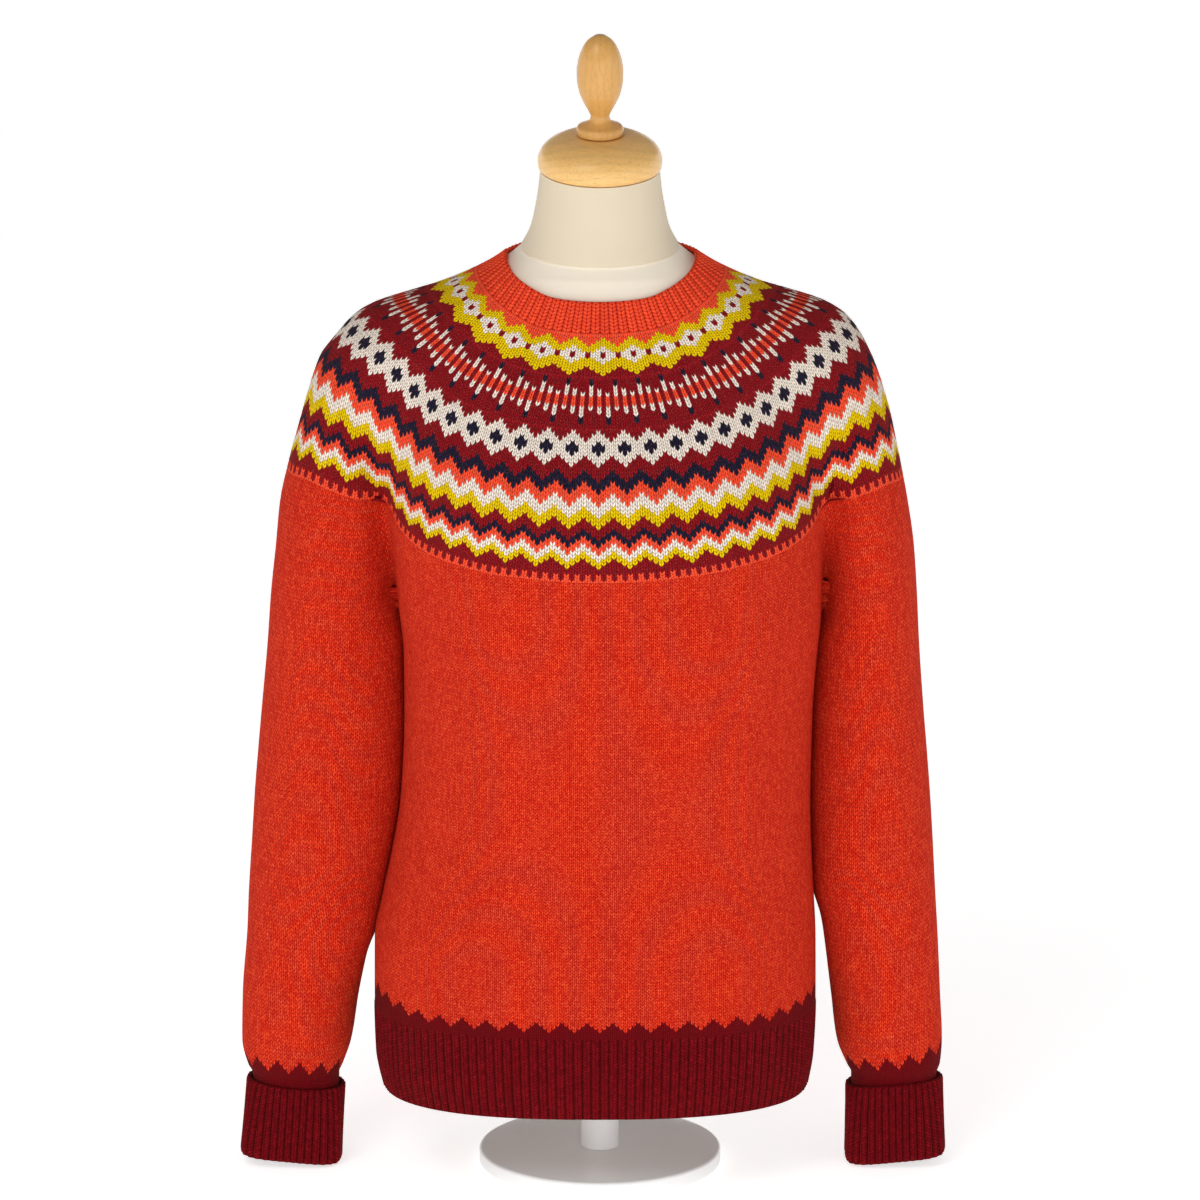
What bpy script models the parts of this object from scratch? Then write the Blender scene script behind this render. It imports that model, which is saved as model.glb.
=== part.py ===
"""Fair Isle jumper, worn on a table-top dress form that has no arms or legs.

A circular-yoke pullover.  It is knitted in the pieces that a maker joins: a neck rib, a round
yoke, a front, a back, a hem rib, two sleeves and two turned-back cuffs.  Each piece is a thin wall
of knit through horizontal sections.  The form under it is a padded torso on a short post and a
round base, with a turned cap and finial on its neck.

Units are metres and +Z is up.  The origin is the middle of the underside of the base, and the
front of the garment faces -Y.
"""
import math

import bmesh
import bpy
import numpy as np

MM = 0.001

# ---- driving dimensions ----------------------------------------------------------------------
SEAM_GAP = 0.32 * MM          # clear distance between two pieces that are joined
CORNER_GAP = 0.55 * MM        # sharp corners of body and sleeve stop this far below the yoke
ARMHOLE_SHARE = 0.55          # part of the seam gap by which each side of an armhole steps back
PANEL_WALL = 2.2 * MM         # plain knit of the front, back and sleeves
YOKE_WALL = 2.8 * MM          # stranded knit, which carries floats on its inner side
RIB_WALL = 2.1 * MM           # ribbing between its ridges
RIB_RELIEF = 0.9 * MM         # height of one rib ridge
RIB_SUNK = 0.7                # part of the relief that sinks under the knit's face
RIB_PROUD = 0.3               # and the part that stands over it

NECK_RIB_DEPTH = 24.5 * MM    # collar, measured down the slope
NECK_RIBS = 76
HEM_BOTTOM = 68.0 * MM        # height of the hem edge over the table
HEM_TOP = 135.5 * MM          # where the ribbing meets the front and back
HEM_DRAW_IN = 22.0 * MM       # over this height the hem draws in towards its edge
HEM_RIBS = 136
CUFF_RIBS = 40
CUFF_HEIGHT = 61.0 * MM       # turned-back height of a cuff
CUFF_TILT = 0.085             # rise of a cuff's planes for each metre outwards
CUFF_LAP = 4.0 * MM           # how far the sleeve's end lies below the cuff's top edge
CUFF_SLOT = 0.5 * MM          # clearance between a cuff's two layers
CUFF_LIP = 1.4 * MM           # rounding of the cuff's upper edge
CUFF_FOLD = 2.0 * MM          # rounding of the fold at its lower edge
CUFF_FOLD_WALL = 4.0 * MM     # knit under the slot, where the two layers join

SIDE_INTERVALS = 18           # knit columns modelled over each sleeve
PANEL_INTERVALS = 22          # knit columns modelled over the front, and over the back
ARMHOLE_ROWS = 6              # rows between the yoke and the underarm point
PANEL_ROWS = 7                # rows from the underarm to the hem rib
SLEEVE_ROWS = 12              # rows from the underarm to the cuff
SLEEVE_CROWDING = 0.6         # how much closer these lie at both ends
YOKE_ROWS = 7

BASE_RADIUS = 96.0 * MM
BASE_ROUNDING = 2.5 * MM
BASE_THICK = 12.0 * MM
POST_RADIUS = 15.0 * MM
TORSO_BOTTOM = 150.0 * MM     # flat underside of the padded torso, hidden inside the jumper
FORM_DROP = 3.0 * MM          # how far the form's shoulders lie below the outside of the knit
FORM_INSET = 3.9 * MM         # and how far inside it at the same height
FORM_ARM_CUT = 156.0 * MM     # half width at which the form's armless shoulders end
FORM_ARM_ROUNDING = 26.0 * MM
FORM_COLUMNS = 32
CAP_COLUMNS = 32
FINIAL_COLUMNS = 20
POST_COLUMNS = 24
BASE_COLUMNS = 48
SOLE_SHARE = 0.93             # size of the torso's flat underside beside its lowest section
UNDERARM_LEVEL = 452.0 * MM   # below this, the torso follows the body alone

NECK_Y = 4.0 * MM             # the neck's axis starts here
NECK_Z = 735.0 * MM
NECK_LEAN = math.radians(9.0) # the neck, cap and finial lean forward

KNIT_CREASE = 45.0            # edges sharper than this many degrees are kept
RIB_CREASE = 60.0
TURNED_CREASE = 50.0

# Front and back: outline of the horizontal section at each height, in millimetres.
# height, left side, right side, front, back, squareness
BODY_SECTIONS = (
    (65.0, -171.0, 164.0, -108.0, 103.0, 2.50),
    (95.0, -177.0, 168.8, -113.5, 105.5, 2.50),
    (140.0, -178.1, 170.5, -117.0, 107.0, 2.50),
    (190.0, -177.7, 170.1, -118.0, 107.0, 2.50),
    (225.0, -170.9, 168.3, -119.0, 107.0, 2.50),
    (260.0, -163.5, 166.5, -121.0, 106.0, 2.45),
    (300.0, -156.7, 165.2, -124.0, 105.0, 2.40),
    (375.0, -153.1, 166.6, -131.0, 104.0, 2.35),
    (420.0, -153.3, 169.8, -136.0, 106.0, 2.35),
    (455.0, -157.0, 173.0, -139.0, 108.0, 2.35),
    (500.0, -162.0, 174.0, -140.0, 111.0, 2.35),
    (540.0, -166.0, 175.0, -135.0, 113.0, 2.30),
    (580.0, -171.0, 175.0, -123.0, 113.0, 2.25),
    (620.0, -173.0, 174.0, -105.0, 109.0, 2.20),
    (655.0, -169.0, 169.0, -89.0, 101.0, 2.15),
    (680.0, -158.0, 159.0, -77.5, 92.0, 2.10),
    (695.0, -144.0, 145.0, -70.5, 85.0, 2.05),
    (708.0, -121.0, 123.0, -64.5, 78.0, 2.00),
    (718.0, -100.0, 102.0, -60.0, 73.0, 2.00),
    (728.0, -81.0, 83.0, -56.0, 69.0, 2.00),
    (738.0, -68.0, 69.0, -52.0, 65.0, 2.00),
    (750.0, -58.0, 59.0, -48.0, 61.0, 2.00),
)

# Sleeves: height, left outer and inner side, right outer and inner side, middle and half depth.
SLEEVE_SECTIONS = (
    (55.0, -275.8, -207.2, 267.5, 199.5, 4.0, 27.0),
    (72.0, -275.8, -207.2, 267.5, 199.5, 4.0, 27.2),
    (80.0, -279.6, -204.0, 270.0, 195.6, 4.0, 30.5),
    (100.0, -284.0, -197.2, 271.4, 187.8, 5.0, 36.0),
    (138.0, -283.1, -191.0, 269.5, 182.9, 6.0, 42.0),
    (190.0, -278.9, -179.9, 266.8, 176.2, 8.0, 47.0),
    (220.0, -277.5, -173.6, 264.9, 171.3, 10.0, 50.0),
    (265.0, -274.4, -164.6, 262.3, 169.7, 13.0, 53.5),
    (310.0, -271.3, -158.2, 259.3, 168.3, 16.0, 55.5),
    (370.0, -265.6, -155.6, 254.0, 169.3, 18.0, 57.0),
    (423.0, -260.4, -155.6, 250.0, 172.0, 18.0, 57.0),
    (460.0, -257.5, -156.0, 248.0, 172.5, 17.0, 57.0),
    (500.0, -253.0, -153.0, 245.0, 169.0, 15.0, 57.0),
    (537.0, -249.0, -148.0, 239.5, 160.0, 13.0, 57.0),
    (565.0, -242.6, -140.0, 234.0, 148.0, 12.0, 56.0),
    (607.0, -231.0, -130.0, 225.0, 130.0, 11.0, 54.0),
    (634.0, -223.0, -120.0, 217.0, 120.0, 10.0, 52.0),
    (651.0, -216.5, -110.0, 210.5, 110.0, 10.0, 50.0),
    (666.0, -205.0, -95.0, 203.0, 95.0, 10.0, 46.0),
    (678.0, -195.0, -80.0, 195.0, 80.0, 10.0, 42.0),
    (687.0, -184.0, -70.0, 185.0, 70.0, 10.0, 38.0),
    (694.0, -169.0, -60.0, 172.0, 60.0, 10.0, 34.0),
    (700.0, -150.0, -50.0, 154.0, 50.0, 10.0, 30.0),
    (708.0, -122.0, -40.0, 125.0, 40.0, 10.0, 24.0),
    (718.0, -96.0, -30.0, 98.0, 30.0, 10.0, 16.0),
    (730.0, -74.0, -20.0, 76.0, 20.0, 10.0, 10.0),
    (750.0, -50.0, -15.0, 50.0, 15.0, 10.0, 8.0),
)
SLEEVE_SQUARENESS = 2.1
SLEEVE_REACH = 160.0 * MM     # no face of a sleeve lies farther from its middle
LEAST_WAY = -0.3              # angles round a sleeve's top edge are counted up from here

# How softly body and sleeve run into each other: height, width of the rounded fold.
FOLD_SOFTNESS = (
    (450.0, 0.0), (480.0, 6.0), (520.0, 14.0), (570.0, 26.0), (620.0, 40.0),
    (660.0, 40.0), (690.0, 24.0), (710.0, 14.0), (750.0, 10.0),
)

# The sections are measured from a short spine along X: height, half length of the spine.
SPINE = (
    (450.0, 95.0), (570.0, 90.0), (630.0, 75.0), (670.0, 55.0), (710.0, 30.0), (750.0, 15.0),
)

# Neck edge: how far round from the front (0) over the sides (0.5) to the back (1), height.
NECK_EDGE = (
    (0.0, 706.5), (0.03, 709.2), (0.067, 714.5), (0.117, 720.5), (0.18, 726.0), (0.25, 730.0),
    (0.35, 732.8), (0.5, 734.2), (0.75, 735.0), (1.0, 735.5),
)

# Yoke: degrees round from the front, length of the knit from the collar to the lower edge.
YOKE_LENGTHS = (
    (0.0, 189.5), (12.0, 190.0), (24.0, 192.5), (36.0, 198.0), (48.0, 202.5), (57.0, 206.0),
    (64.0, 209.0), (72.0, 218.0), (83.0, 233.5), (92.0, 237.0), (102.0, 231.0), (111.0, 220.0),
    (119.0, 212.0), (128.0, 209.0), (150.0, 207.0), (180.0, 205.0),
)

# Cuffs: side, middle of the top and of the bottom edge, height of the top edge, half width.
CUFFS = {
    "left": (-1, -241.4, -246.0, 66.2, 39.0),
    "right": (1, 233.5, 234.9, 66.2, 38.6),
}
CUFF_MID_Y = 4.0 * MM
CUFF_HALF_DEPTH = 30.6 * MM

# Torso of the form: how much further inside the jumper it lies at each height.
FORM_EASE_ROWS = (
    (150.0, 22.0), (300.0, 17.0), (420.0, 8.0), (485.0, 1.5), (540.0, 0.0), (750.0, 0.0),
)
FORM_HEIGHTS = (
    157.0, 230.0, 310.0, 390.0, 440.0, 485.0, 530.0, 575.0, 620.0, 655.0, 680.0, 698.0, 712.0,
    722.5,
)
# Neck of the form: distance up its leaning axis, half width and half depth.
FORM_NECK = (
    (0.5, 62.5, 50.5), (7.5, 58.6, 50.5), (18.0, 53.6, 49.6), (33.0, 50.2, 47.8),
    (50.0, 47.6, 46.8), (62.2, 46.6, 46.4),
)
# Turned cap, from its underside to the flat that the finial stands on: radius, distance.
CAP_PROFILE = (
    (45.4, 62.5), (47.4, 64.2), (47.9, 70.0), (45.6, 78.0), (39.4, 86.0), (29.0, 92.6), (18.5, 95.6),
)
# Turned finial: foot ring, waist and egg, radius and distance.
FINIAL_PROFILE = (
    (15.8, 95.9), (17.7, 97.4), (17.4, 99.6), (12.6, 101.8), (8.4, 104.6), (7.3, 108.1),
    (8.9, 112.0), (12.6, 119.0), (15.9, 127.0), (17.7, 137.0), (17.9, 144.0), (16.8, 152.5),
    (14.0, 161.0), (9.6, 168.0), (4.2, 172.0),
)

# Finishes: colour, roughness, metallic value.
FINISHES = {
    "heather_wool": ((0.62, 0.045, 0.012), 0.95, 0.0),
    "yoke_wool": ((0.34, 0.030, 0.022), 0.95, 0.0),
    "wine_wool": ((0.14, 0.006, 0.012), 0.95, 0.0),
    "jersey": ((0.80, 0.74, 0.62), 0.90, 0.0),
    "beech": ((0.62, 0.36, 0.13), 0.35, 0.0),
    "white_lacquer": ((0.82, 0.81, 0.79), 0.40, 0.0),
}


# ---- curves through the tables ---------------------------------------------------------------
def smooth_slopes(places, values):
    """Slopes of a curve that never overshoots its rows."""
    steps = np.diff(places)
    rises = np.diff(values) / steps
    slopes = np.concatenate([rises[:1], np.zeros(len(places) - 2), rises[-1:]])
    for row in range(1, len(places) - 1):
        before = rises[row - 1]
        after = rises[row]
        if before * after > 0.0:
            near = 2.0 * steps[row] + steps[row - 1]
            far = steps[row] + 2.0 * steps[row - 1]
            slopes[row] = (near + far) / (near / before + far / after)
    return slopes


class Table:
    """A table of rows, read between its rows as smooth curves of its first column."""

    def __init__(self, rows, place_scale=MM, value_scales=None):
        data = np.array(rows, dtype=float)
        self.places = data[:, 0] * place_scale
        scales = np.full(data.shape[1] - 1, MM) if value_scales is None else np.array(value_scales)
        self.values = data[:, 1:] * scales
        self.slopes = [smooth_slopes(self.places, column) for column in self.values.T]

    def read(self, where):
        """One array for each column, at the places asked for."""
        where = np.asarray(where, dtype=float)
        last = len(self.places) - 2
        row = np.clip(np.searchsorted(self.places, where) - 1, 0, last)
        step = self.places[row + 1] - self.places[row]
        part = np.clip((where - self.places[row]) / step, 0.0, 1.0)
        rest = 1.0 - part
        columns = []
        for value, slope in zip(self.values.T, self.slopes):
            ends = (1.0 + 2.0 * part) * rest ** 2 * value[row]
            ends = ends + part ** 2 * (3.0 - 2.0 * part) * value[row + 1]
            bends = part * rest ** 2 * slope[row] - part ** 2 * rest * slope[row + 1]
            columns.append(ends + bends * step)
        return columns


BODY = Table(BODY_SECTIONS, value_scales=(MM, MM, MM, MM, 1.0))
SLEEVES = Table(SLEEVE_SECTIONS)
FOLD = Table(FOLD_SOFTNESS)
SPINE_LENGTH = Table(SPINE)
NECK_HEIGHT = Table(NECK_EDGE, place_scale=1.0)
FORM_EASE = Table(FORM_EASE_ROWS)
YOKE_LENGTH = Table(YOKE_LENGTHS, place_scale=math.radians(1.0))


# ---- the garment as a field: negative inside it, zero on its outer face ----------------------
def section_distance(across, along, half_width, half_depth, squareness):
    """Distance in its own plane from an oval section, measured from the section's middle."""
    power = np.abs(across / half_width) ** squareness + np.abs(along / half_depth) ** squareness
    scale = np.maximum(power, 1e-9) ** (1.0 / squareness)
    return np.hypot(across, along) * (1.0 - 1.0 / scale)


def body_field(x, y, z):
    """Front and back alone."""
    left, right, front, back, squareness = BODY.read(z)
    half_depth = np.where(y < 0.0, -front, back)
    return section_distance(x - (left + right) / 2.0, y, (right - left) / 2.0, half_depth, squareness)


def sleeve_centre(side, z):
    """Middle and half sizes of one sleeve's section."""
    left_out, left_in, right_out, right_in, middle, half_depth = SLEEVES.read(z)
    outer, inner = (left_out, left_in) if side < 0 else (right_out, right_in)
    return (outer + inner) / 2.0, middle, np.abs(outer - inner) / 2.0, half_depth


def sleeve_field(side, x, y, z):
    """One sleeve alone."""
    centre, middle, half_width, half_depth = sleeve_centre(side, z)
    return section_distance(x - centre, y - middle, half_width, half_depth, SLEEVE_SQUARENESS)


def blended(first, second, softness):
    """The lower of two fields, rounded where they cross."""
    softness = np.maximum(softness, 1e-6)
    overlap = np.maximum(softness - np.abs(first - second), 0.0) / softness
    return np.minimum(first, second) - overlap ** 2 * softness / 4.0


def garment_field(x, y, z):
    """Body and both sleeves run together, as above the underarms."""
    sleeve = np.where(x < 0.0, sleeve_field(-1, x, y, z), sleeve_field(1, x, y, z))
    return blended(body_field(x, y, z), sleeve, FOLD.read(z)[0])


def outward(field, points, reach=0.4 * MM):
    """Unit normals of a field at points on its surface."""
    slopes = []
    for axis in range(3):
        step = np.zeros(3)
        step[axis] = reach
        ahead = points + step
        behind = points - step
        slopes.append(field(*np.moveaxis(ahead, -1, 0)) - field(*np.moveaxis(behind, -1, 0)))
    normals = np.stack(slopes, axis=-1)
    return normals / np.linalg.norm(normals, axis=-1, keepdims=True)


def first_crossing(field, start_x, start_y, angle, z, reach=300.0 * MM, steps=75, halvings=26):
    """Where a level ray from inside first leaves the field."""
    start_x, start_y, angle, z = np.broadcast_arrays(start_x, start_y, angle, z)
    run_x = np.cos(angle)
    run_y = np.sin(angle)
    near = np.zeros(angle.shape)
    far = np.full(angle.shape, reach)
    found = np.zeros(angle.shape, dtype=bool)
    for step in range(1, steps + 1):
        distance = reach * step / steps
        outside = field(start_x + distance * run_x, start_y + distance * run_y, z) > 0.0
        far = np.where(outside & ~found, distance, far)
        near = np.where(outside & ~found, distance - reach / steps, near)
        found |= outside
    for _ in range(halvings):
        middle = (near + far) / 2.0
        inside = field(start_x + middle * run_x, start_y + middle * run_y, z) < 0.0
        near = np.where(inside, middle, near)
        far = np.where(inside, far, middle)
    return np.stack([start_x + near * run_x, start_y + near * run_y, z + 0.0 * near], axis=-1)


# ---- angles round the body, from the spine ---------------------------------------------------
FRONT_ANGLE = -math.pi / 2.0
SPINE_Y = 10.0 * MM


def body_point(angle, z, field=garment_field):
    """Point of the outer face at an angle round the spine and a height."""
    spine = SPINE_LENGTH.read(z)[0]
    return first_crossing(field, spine * np.cos(angle), SPINE_Y, angle, z)


def angle_of(point):
    """Angle round the spine of a point, from -pi (left) over the front to +pi (left, behind)."""
    spine = float(SPINE_LENGTH.read(point[2])[0])
    angle = math.atan2(point[1] - SPINE_Y, point[0])
    for _ in range(60):
        angle = math.atan2(point[1] - SPINE_Y, point[0] - spine * math.cos(angle))
    return angle


def from_front(angle):
    """How far round an angle is from the front, 0 to pi, whichever side it is on."""
    return np.abs((np.asarray(angle) - FRONT_ANGLE + math.pi) % (2.0 * math.pi) - math.pi)


def neck_edge_height(angle):
    """Height of the neck opening's edge at an angle."""
    return NECK_HEIGHT.read((1.0 - np.cos(from_front(angle))) / 2.0)[0]


# ---- meridians: the knit measured down from the neck edge ------------------------------------
MERIDIAN_SAMPLES = 110
MERIDIAN_LOW = 470.0 * MM


def meridian(angle):
    """Points down the outer face at one or more angles, and the length of knit to each."""
    angle = np.atleast_1d(np.asarray(angle, dtype=float))
    top = neck_edge_height(angle)[:, None]
    part = np.linspace(0.0, 1.0, MERIDIAN_SAMPLES)[None, :] ** 1.35
    heights = top + (MERIDIAN_LOW - top) * part
    points = body_point(angle[:, None], heights)
    runs = np.linalg.norm(np.diff(points, axis=1), axis=-1)
    lengths = np.concatenate([np.zeros((len(angle), 1)), np.cumsum(runs, axis=1)], axis=1)
    return points, lengths


def down_the_knit(lines, lengths):
    """Points at given lengths (one row for each meridian) down the meridians."""
    points, run = lines
    placed = []
    for line, line_run, wanted in zip(points, run, lengths):
        placed.append(np.stack([np.interp(wanted, line_run, line[:, axis]) for axis in range(3)], -1))
    placed = np.array(placed)
    for _ in range(2):
        left = garment_field(*np.moveaxis(placed, -1, 0))[..., None]
        placed = placed - outward(garment_field, placed) * left
    return placed


def yoke_length(angle):
    """Length of the yoke's knit under the collar at an angle."""
    return YOKE_LENGTH.read(from_front(angle))[0]


# ---- armholes: where body and sleeve meet ----------------------------------------------------
MEETING_REACH = np.linspace(-120.0, 130.0, 251) * MM


def meeting_line(side, z):
    """X as far from the body's face as from the sleeve's, and the garment's field there.

    One value for each Y of MEETING_REACH, at a height.
    """
    y = MEETING_REACH
    near = np.zeros(y.shape)
    far = np.full(y.shape, float(sleeve_centre(side, z)[0]))
    for _ in range(30):
        middle = (near + far) / 2.0
        nearer_body = body_field(middle, y, z) < sleeve_field(side, middle, y, z)
        near = np.where(nearer_body, middle, near)
        far = np.where(nearer_body, far, middle)
    return near, garment_field(near, y, z)


def underarm_point(side):
    """The point at which body and sleeve first touch, going up."""
    low = 430.0 * MM
    high = 480.0 * MM
    for _ in range(24):
        middle = (low + high) / 2.0
        if meeting_line(side, middle)[1].min() < 0.0:
            high = middle
        else:
            low = middle
    x, depth = meeting_line(side, high)
    deepest = int(np.argmin(depth))
    return np.array([x[deepest], MEETING_REACH[deepest], high])


def armhole_point(side, face, z):
    """Point of the armhole seam on the front (face -1) or back (face 1) at a height."""
    x, depth = meeting_line(side, z)
    deepest = int(np.argmin(depth))
    way = slice(deepest, None, 1) if face > 0 else slice(deepest, None, -1)
    outside = int(np.argmax(depth[way] > 0.0))
    span = slice(outside - 1, outside + 1)
    y = np.interp(0.0, depth[way][span], MEETING_REACH[way][span])
    return np.array([np.interp(y, MEETING_REACH, x), y, z])


def yoke_corner(side, face):
    """Where the armhole seam reaches the yoke's lower edge."""
    low = 500.0 * MM
    high = 600.0 * MM
    for _ in range(18):
        middle = (low + high) / 2.0
        point = armhole_point(side, face, middle)
        angle = angle_of(point)
        points, run = meridian(angle)
        reached = np.interp(-middle, -points[0, :, 2], run[0])
        if reached > NECK_RIB_DEPTH + float(yoke_length(angle)):
            low = middle
        else:
            high = middle
    return armhole_point(side, face, high)


class Armhole:
    """One half of an armhole seam, from the yoke down to the underarm point."""

    def __init__(self, side, face):
        self.side = side
        self.face = face
        self.corner = yoke_corner(side, face)
        self.underarm = underarm_point(side)
        part = (np.arange(ARMHOLE_ROWS, -1, -1) / ARMHOLE_ROWS) ** 1.6
        heights = self.underarm[2] + (self.corner[2] - self.underarm[2]) * part
        inner = [armhole_point(side, face, z) for z in heights[1:-1]]
        self.points = np.array([self.corner] + inner + [self.underarm])
        self.share = np.clip(part, 0.0, 1.0)

    def normals(self):
        """Outward directions of the body's and of the sleeve's face along the seam."""
        return (outward(body_field, self.points),
                outward(lambda x, y, z: sleeve_field(self.side, x, y, z), self.points))

    def corner_moved(self, distance):
        """The yoke's corner moved up the armhole by a distance."""
        rise = self.corner - self.points[1]
        return self.corner + rise / np.linalg.norm(rise) * distance

    def edge(self, of_sleeve):
        """The seam moved half a gap onto one piece, with that piece's wall direction."""
        body_normals, sleeve_normals = self.normals()
        apart = body_normals - sleeve_normals
        apart = apart / np.linalg.norm(apart, axis=-1, keepdims=True)
        shared = outward(garment_field, self.points)
        own = sleeve_normals if of_sleeve else body_normals
        share = self.share[:, None]
        normals = own * (1.0 - share) + shared * share
        normals = normals / np.linalg.norm(normals, axis=-1, keepdims=True)
        shift = apart if of_sleeve else -apart
        moved = self.points.copy()
        moved[0] = self.corner_moved(-CORNER_GAP)
        return moved + shift * SEAM_GAP * ARMHOLE_SHARE, normals


# ---- mesh helpers ----------------------------------------------------------------------------
def finish(name):
    """The material of one finish, made once."""
    material = bpy.data.materials.get(name)
    if material is None:
        colour, roughness, metallic = FINISHES[name]
        material = bpy.data.materials.new(name)
        material.use_nodes = True
        shader = material.node_tree.nodes["Principled BSDF"]
        shader.inputs["Base Color"].default_value = (*colour, 1.0)
        shader.inputs["Roughness"].default_value = roughness
        shader.inputs["Metallic"].default_value = metallic
        material.diffuse_color = (*colour, 1.0)
    return material


def add_object(name, mesh_builder, finish_name, crease=KNIT_CREASE):
    """An object from a filled bmesh, facing out and shaded smooth."""
    bmesh.ops.recalc_face_normals(mesh_builder, faces=mesh_builder.faces[:])
    mesh = bpy.data.meshes.new(name)
    mesh_builder.to_mesh(mesh)
    mesh_builder.free()
    own = finish(finish_name).copy()
    own.name = f"{name}_finish"
    mesh.materials.append(own)
    mesh.shade_smooth()
    mesh.set_sharp_from_angle(angle=math.radians(crease))
    made = bpy.data.objects.new(name, mesh)
    bpy.context.scene.collection.objects.link(made)
    return made


def add_corners(mesh_builder, grid):
    """Vertices for a grid of points (rows, columns, 3)."""
    return [[mesh_builder.verts.new(point) for point in row] for row in grid]


def skin(mesh_builder, rows, closed):
    """Quads between the rows of a grid of vertices."""
    for upper, lower in zip(rows, rows[1:]):
        count = len(upper) if closed else len(upper) - 1
        for column in range(count):
            after = (column + 1) % len(upper)
            mesh_builder.faces.new((upper[column], upper[after], lower[after], lower[column]))


def wall_between(outer, inner, closed):
    """A wall from two grids of points: a ring if closed, else a panel with four edges."""
    wall = bmesh.new()
    outer_rows = add_corners(wall, outer)
    inner_rows = add_corners(wall, inner)
    skin(wall, outer_rows, closed)
    skin(wall, inner_rows, closed)
    for end in (0, -1):
        skin(wall, [outer_rows[end], inner_rows[end]], closed)
    if not closed:
        for edge in (0, -1):
            outer_edge = [row[edge] for row in outer_rows]
            inner_edge = [row[edge] for row in inner_rows]
            skin(wall, [outer_edge, inner_edge], False)
    return wall


def tube_with_open_top(outer, inner, open_rows):
    """A sleeve's wall: a panel for its first rows, and a ring below the underarm point."""
    wall = bmesh.new()
    outer_rows = add_corners(wall, outer)
    inner_rows = add_corners(wall, inner)
    for rows in (outer_rows, inner_rows):
        for row in rows[open_rows:]:
            wall.verts.remove(row[-1])
            row[-1] = row[0]
        skin(wall, rows, False)
    for end in (0, -1):
        skin(wall, [outer_rows[end], inner_rows[end]], False)
    for edge in (0, -1):
        outer_edge = [row[edge] for row in outer_rows[:open_rows + 1]]
        inner_edge = [row[edge] for row in inner_rows[:open_rows + 1]]
        skin(wall, [outer_edge, inner_edge], False)
    return wall


def ribbed_ring(outer, inner):
    """A ribbed ring: two outer columns for each rib over one plain inner column."""
    ring = bmesh.new()
    outer_rows = add_corners(ring, outer)
    inner_rows = add_corners(ring, inner)
    skin(ring, outer_rows, True)
    skin(ring, inner_rows, True)
    for end in (0, -1):
        out = outer_rows[end]
        ins = inner_rows[end]
        for rib in range(len(ins)):
            after = (rib + 1) % len(ins)
            ring.faces.new((out[2 * rib], out[2 * rib + 1], out[2 * after], ins[after], ins[rib]))
    return ring


def rib_relief(columns):
    """How far each column of a ribbed face stands out: troughs and crests in turn."""
    return np.where(np.arange(columns) % 2 == 0, -RIB_SUNK, RIB_PROUD) * RIB_RELIEF


def evenly_spaced(start, end, count, edge_points):
    """Angles from start to end whose points are equally far apart along an edge."""
    fine = np.linspace(start, end, 241)
    line = edge_points(fine)
    run = np.concatenate([[0.0], np.cumsum(np.linalg.norm(np.diff(line, axis=0), axis=-1))])
    return np.interp(np.linspace(0.0, run[-1], count + 1), run, fine)


# ---- the knitted pieces ----------------------------------------------------------------------
class Cut:
    """The corners, armholes and columns that the yoke, body and sleeves share."""

    def __init__(self):
        self.armholes = {(side, face): Armhole(side, face) for side in (-1, 1) for face in (-1, 1)}
        turn = 2.0 * math.pi
        front_left = angle_of(self.armholes[-1, -1].corner) % turn - turn
        front_right = angle_of(self.armholes[1, -1].corner)
        back_right = angle_of(self.armholes[1, 1].corner)
        back_left = angle_of(self.armholes[-1, 1].corner) % turn
        spans = (
            ("front", front_left, front_right, PANEL_INTERVALS),
            ("right", front_right, back_right, SIDE_INTERVALS),
            ("back", back_right, back_left, PANEL_INTERVALS),
            ("left", back_left, front_left + turn, SIDE_INTERVALS),
        )
        self.angles = {}
        for name, start, end, count in spans:
            self.angles[name] = evenly_spaced(start, end, count, self.lower_edge)
        round_yoke = [self.angles[name][:-1] for name, _, _, _ in spans]
        self.yoke_angles = np.concatenate(round_yoke)
        starts = np.cumsum([0] + [len(angles) for angles in round_yoke[:-1]])
        order = ((-1, -1), (1, -1), (1, 1), (-1, 1))
        self.yoke_corners = [(start, self.armholes[key]) for start, key in zip(starts, order)]

    def lower_edge(self, angles, aside=0.0):
        """Points of the yoke's lower edge, moved down the knit by a distance square to the edge."""
        lengths = NECK_RIB_DEPTH + yoke_length(angles)
        edge = down_the_knit(meridian(angles), lengths[:, None])[:, 0]
        square = np.cross(np.gradient(edge, axis=0), outward(garment_field, edge))
        square *= -np.sign(square[:, 2:]) / np.linalg.norm(square, axis=-1, keepdims=True)
        return edge + square * aside


def make_neck_rib():
    """Collar: a single layer of ribbing round the neck opening."""
    columns = 2 * NECK_RIBS

    def middle_line(angles):
        return down_the_knit(meridian(angles), np.full((len(angles), 1), NECK_RIB_DEPTH / 2.0))[:, 0]

    angles = evenly_spaced(FRONT_ANGLE, FRONT_ANGLE + 2.0 * math.pi, columns, middle_line)[:-1]
    drops = np.array([0.0, 0.5, 1.0]) * (NECK_RIB_DEPTH - SEAM_GAP / 2.0)
    face = down_the_knit(meridian(angles), np.tile(drops, (columns, 1))).swapaxes(0, 1)
    normals = outward(garment_field, face)
    ridge = rib_relief(columns)[None, :, None]
    outer = face + normals * ridge
    inner = (face - normals * (RIB_WALL + RIB_SUNK * RIB_RELIEF))[:, ::2]
    return add_object("neck_rib", ribbed_ring(outer, inner), "heather_wool", RIB_CREASE)


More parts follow.
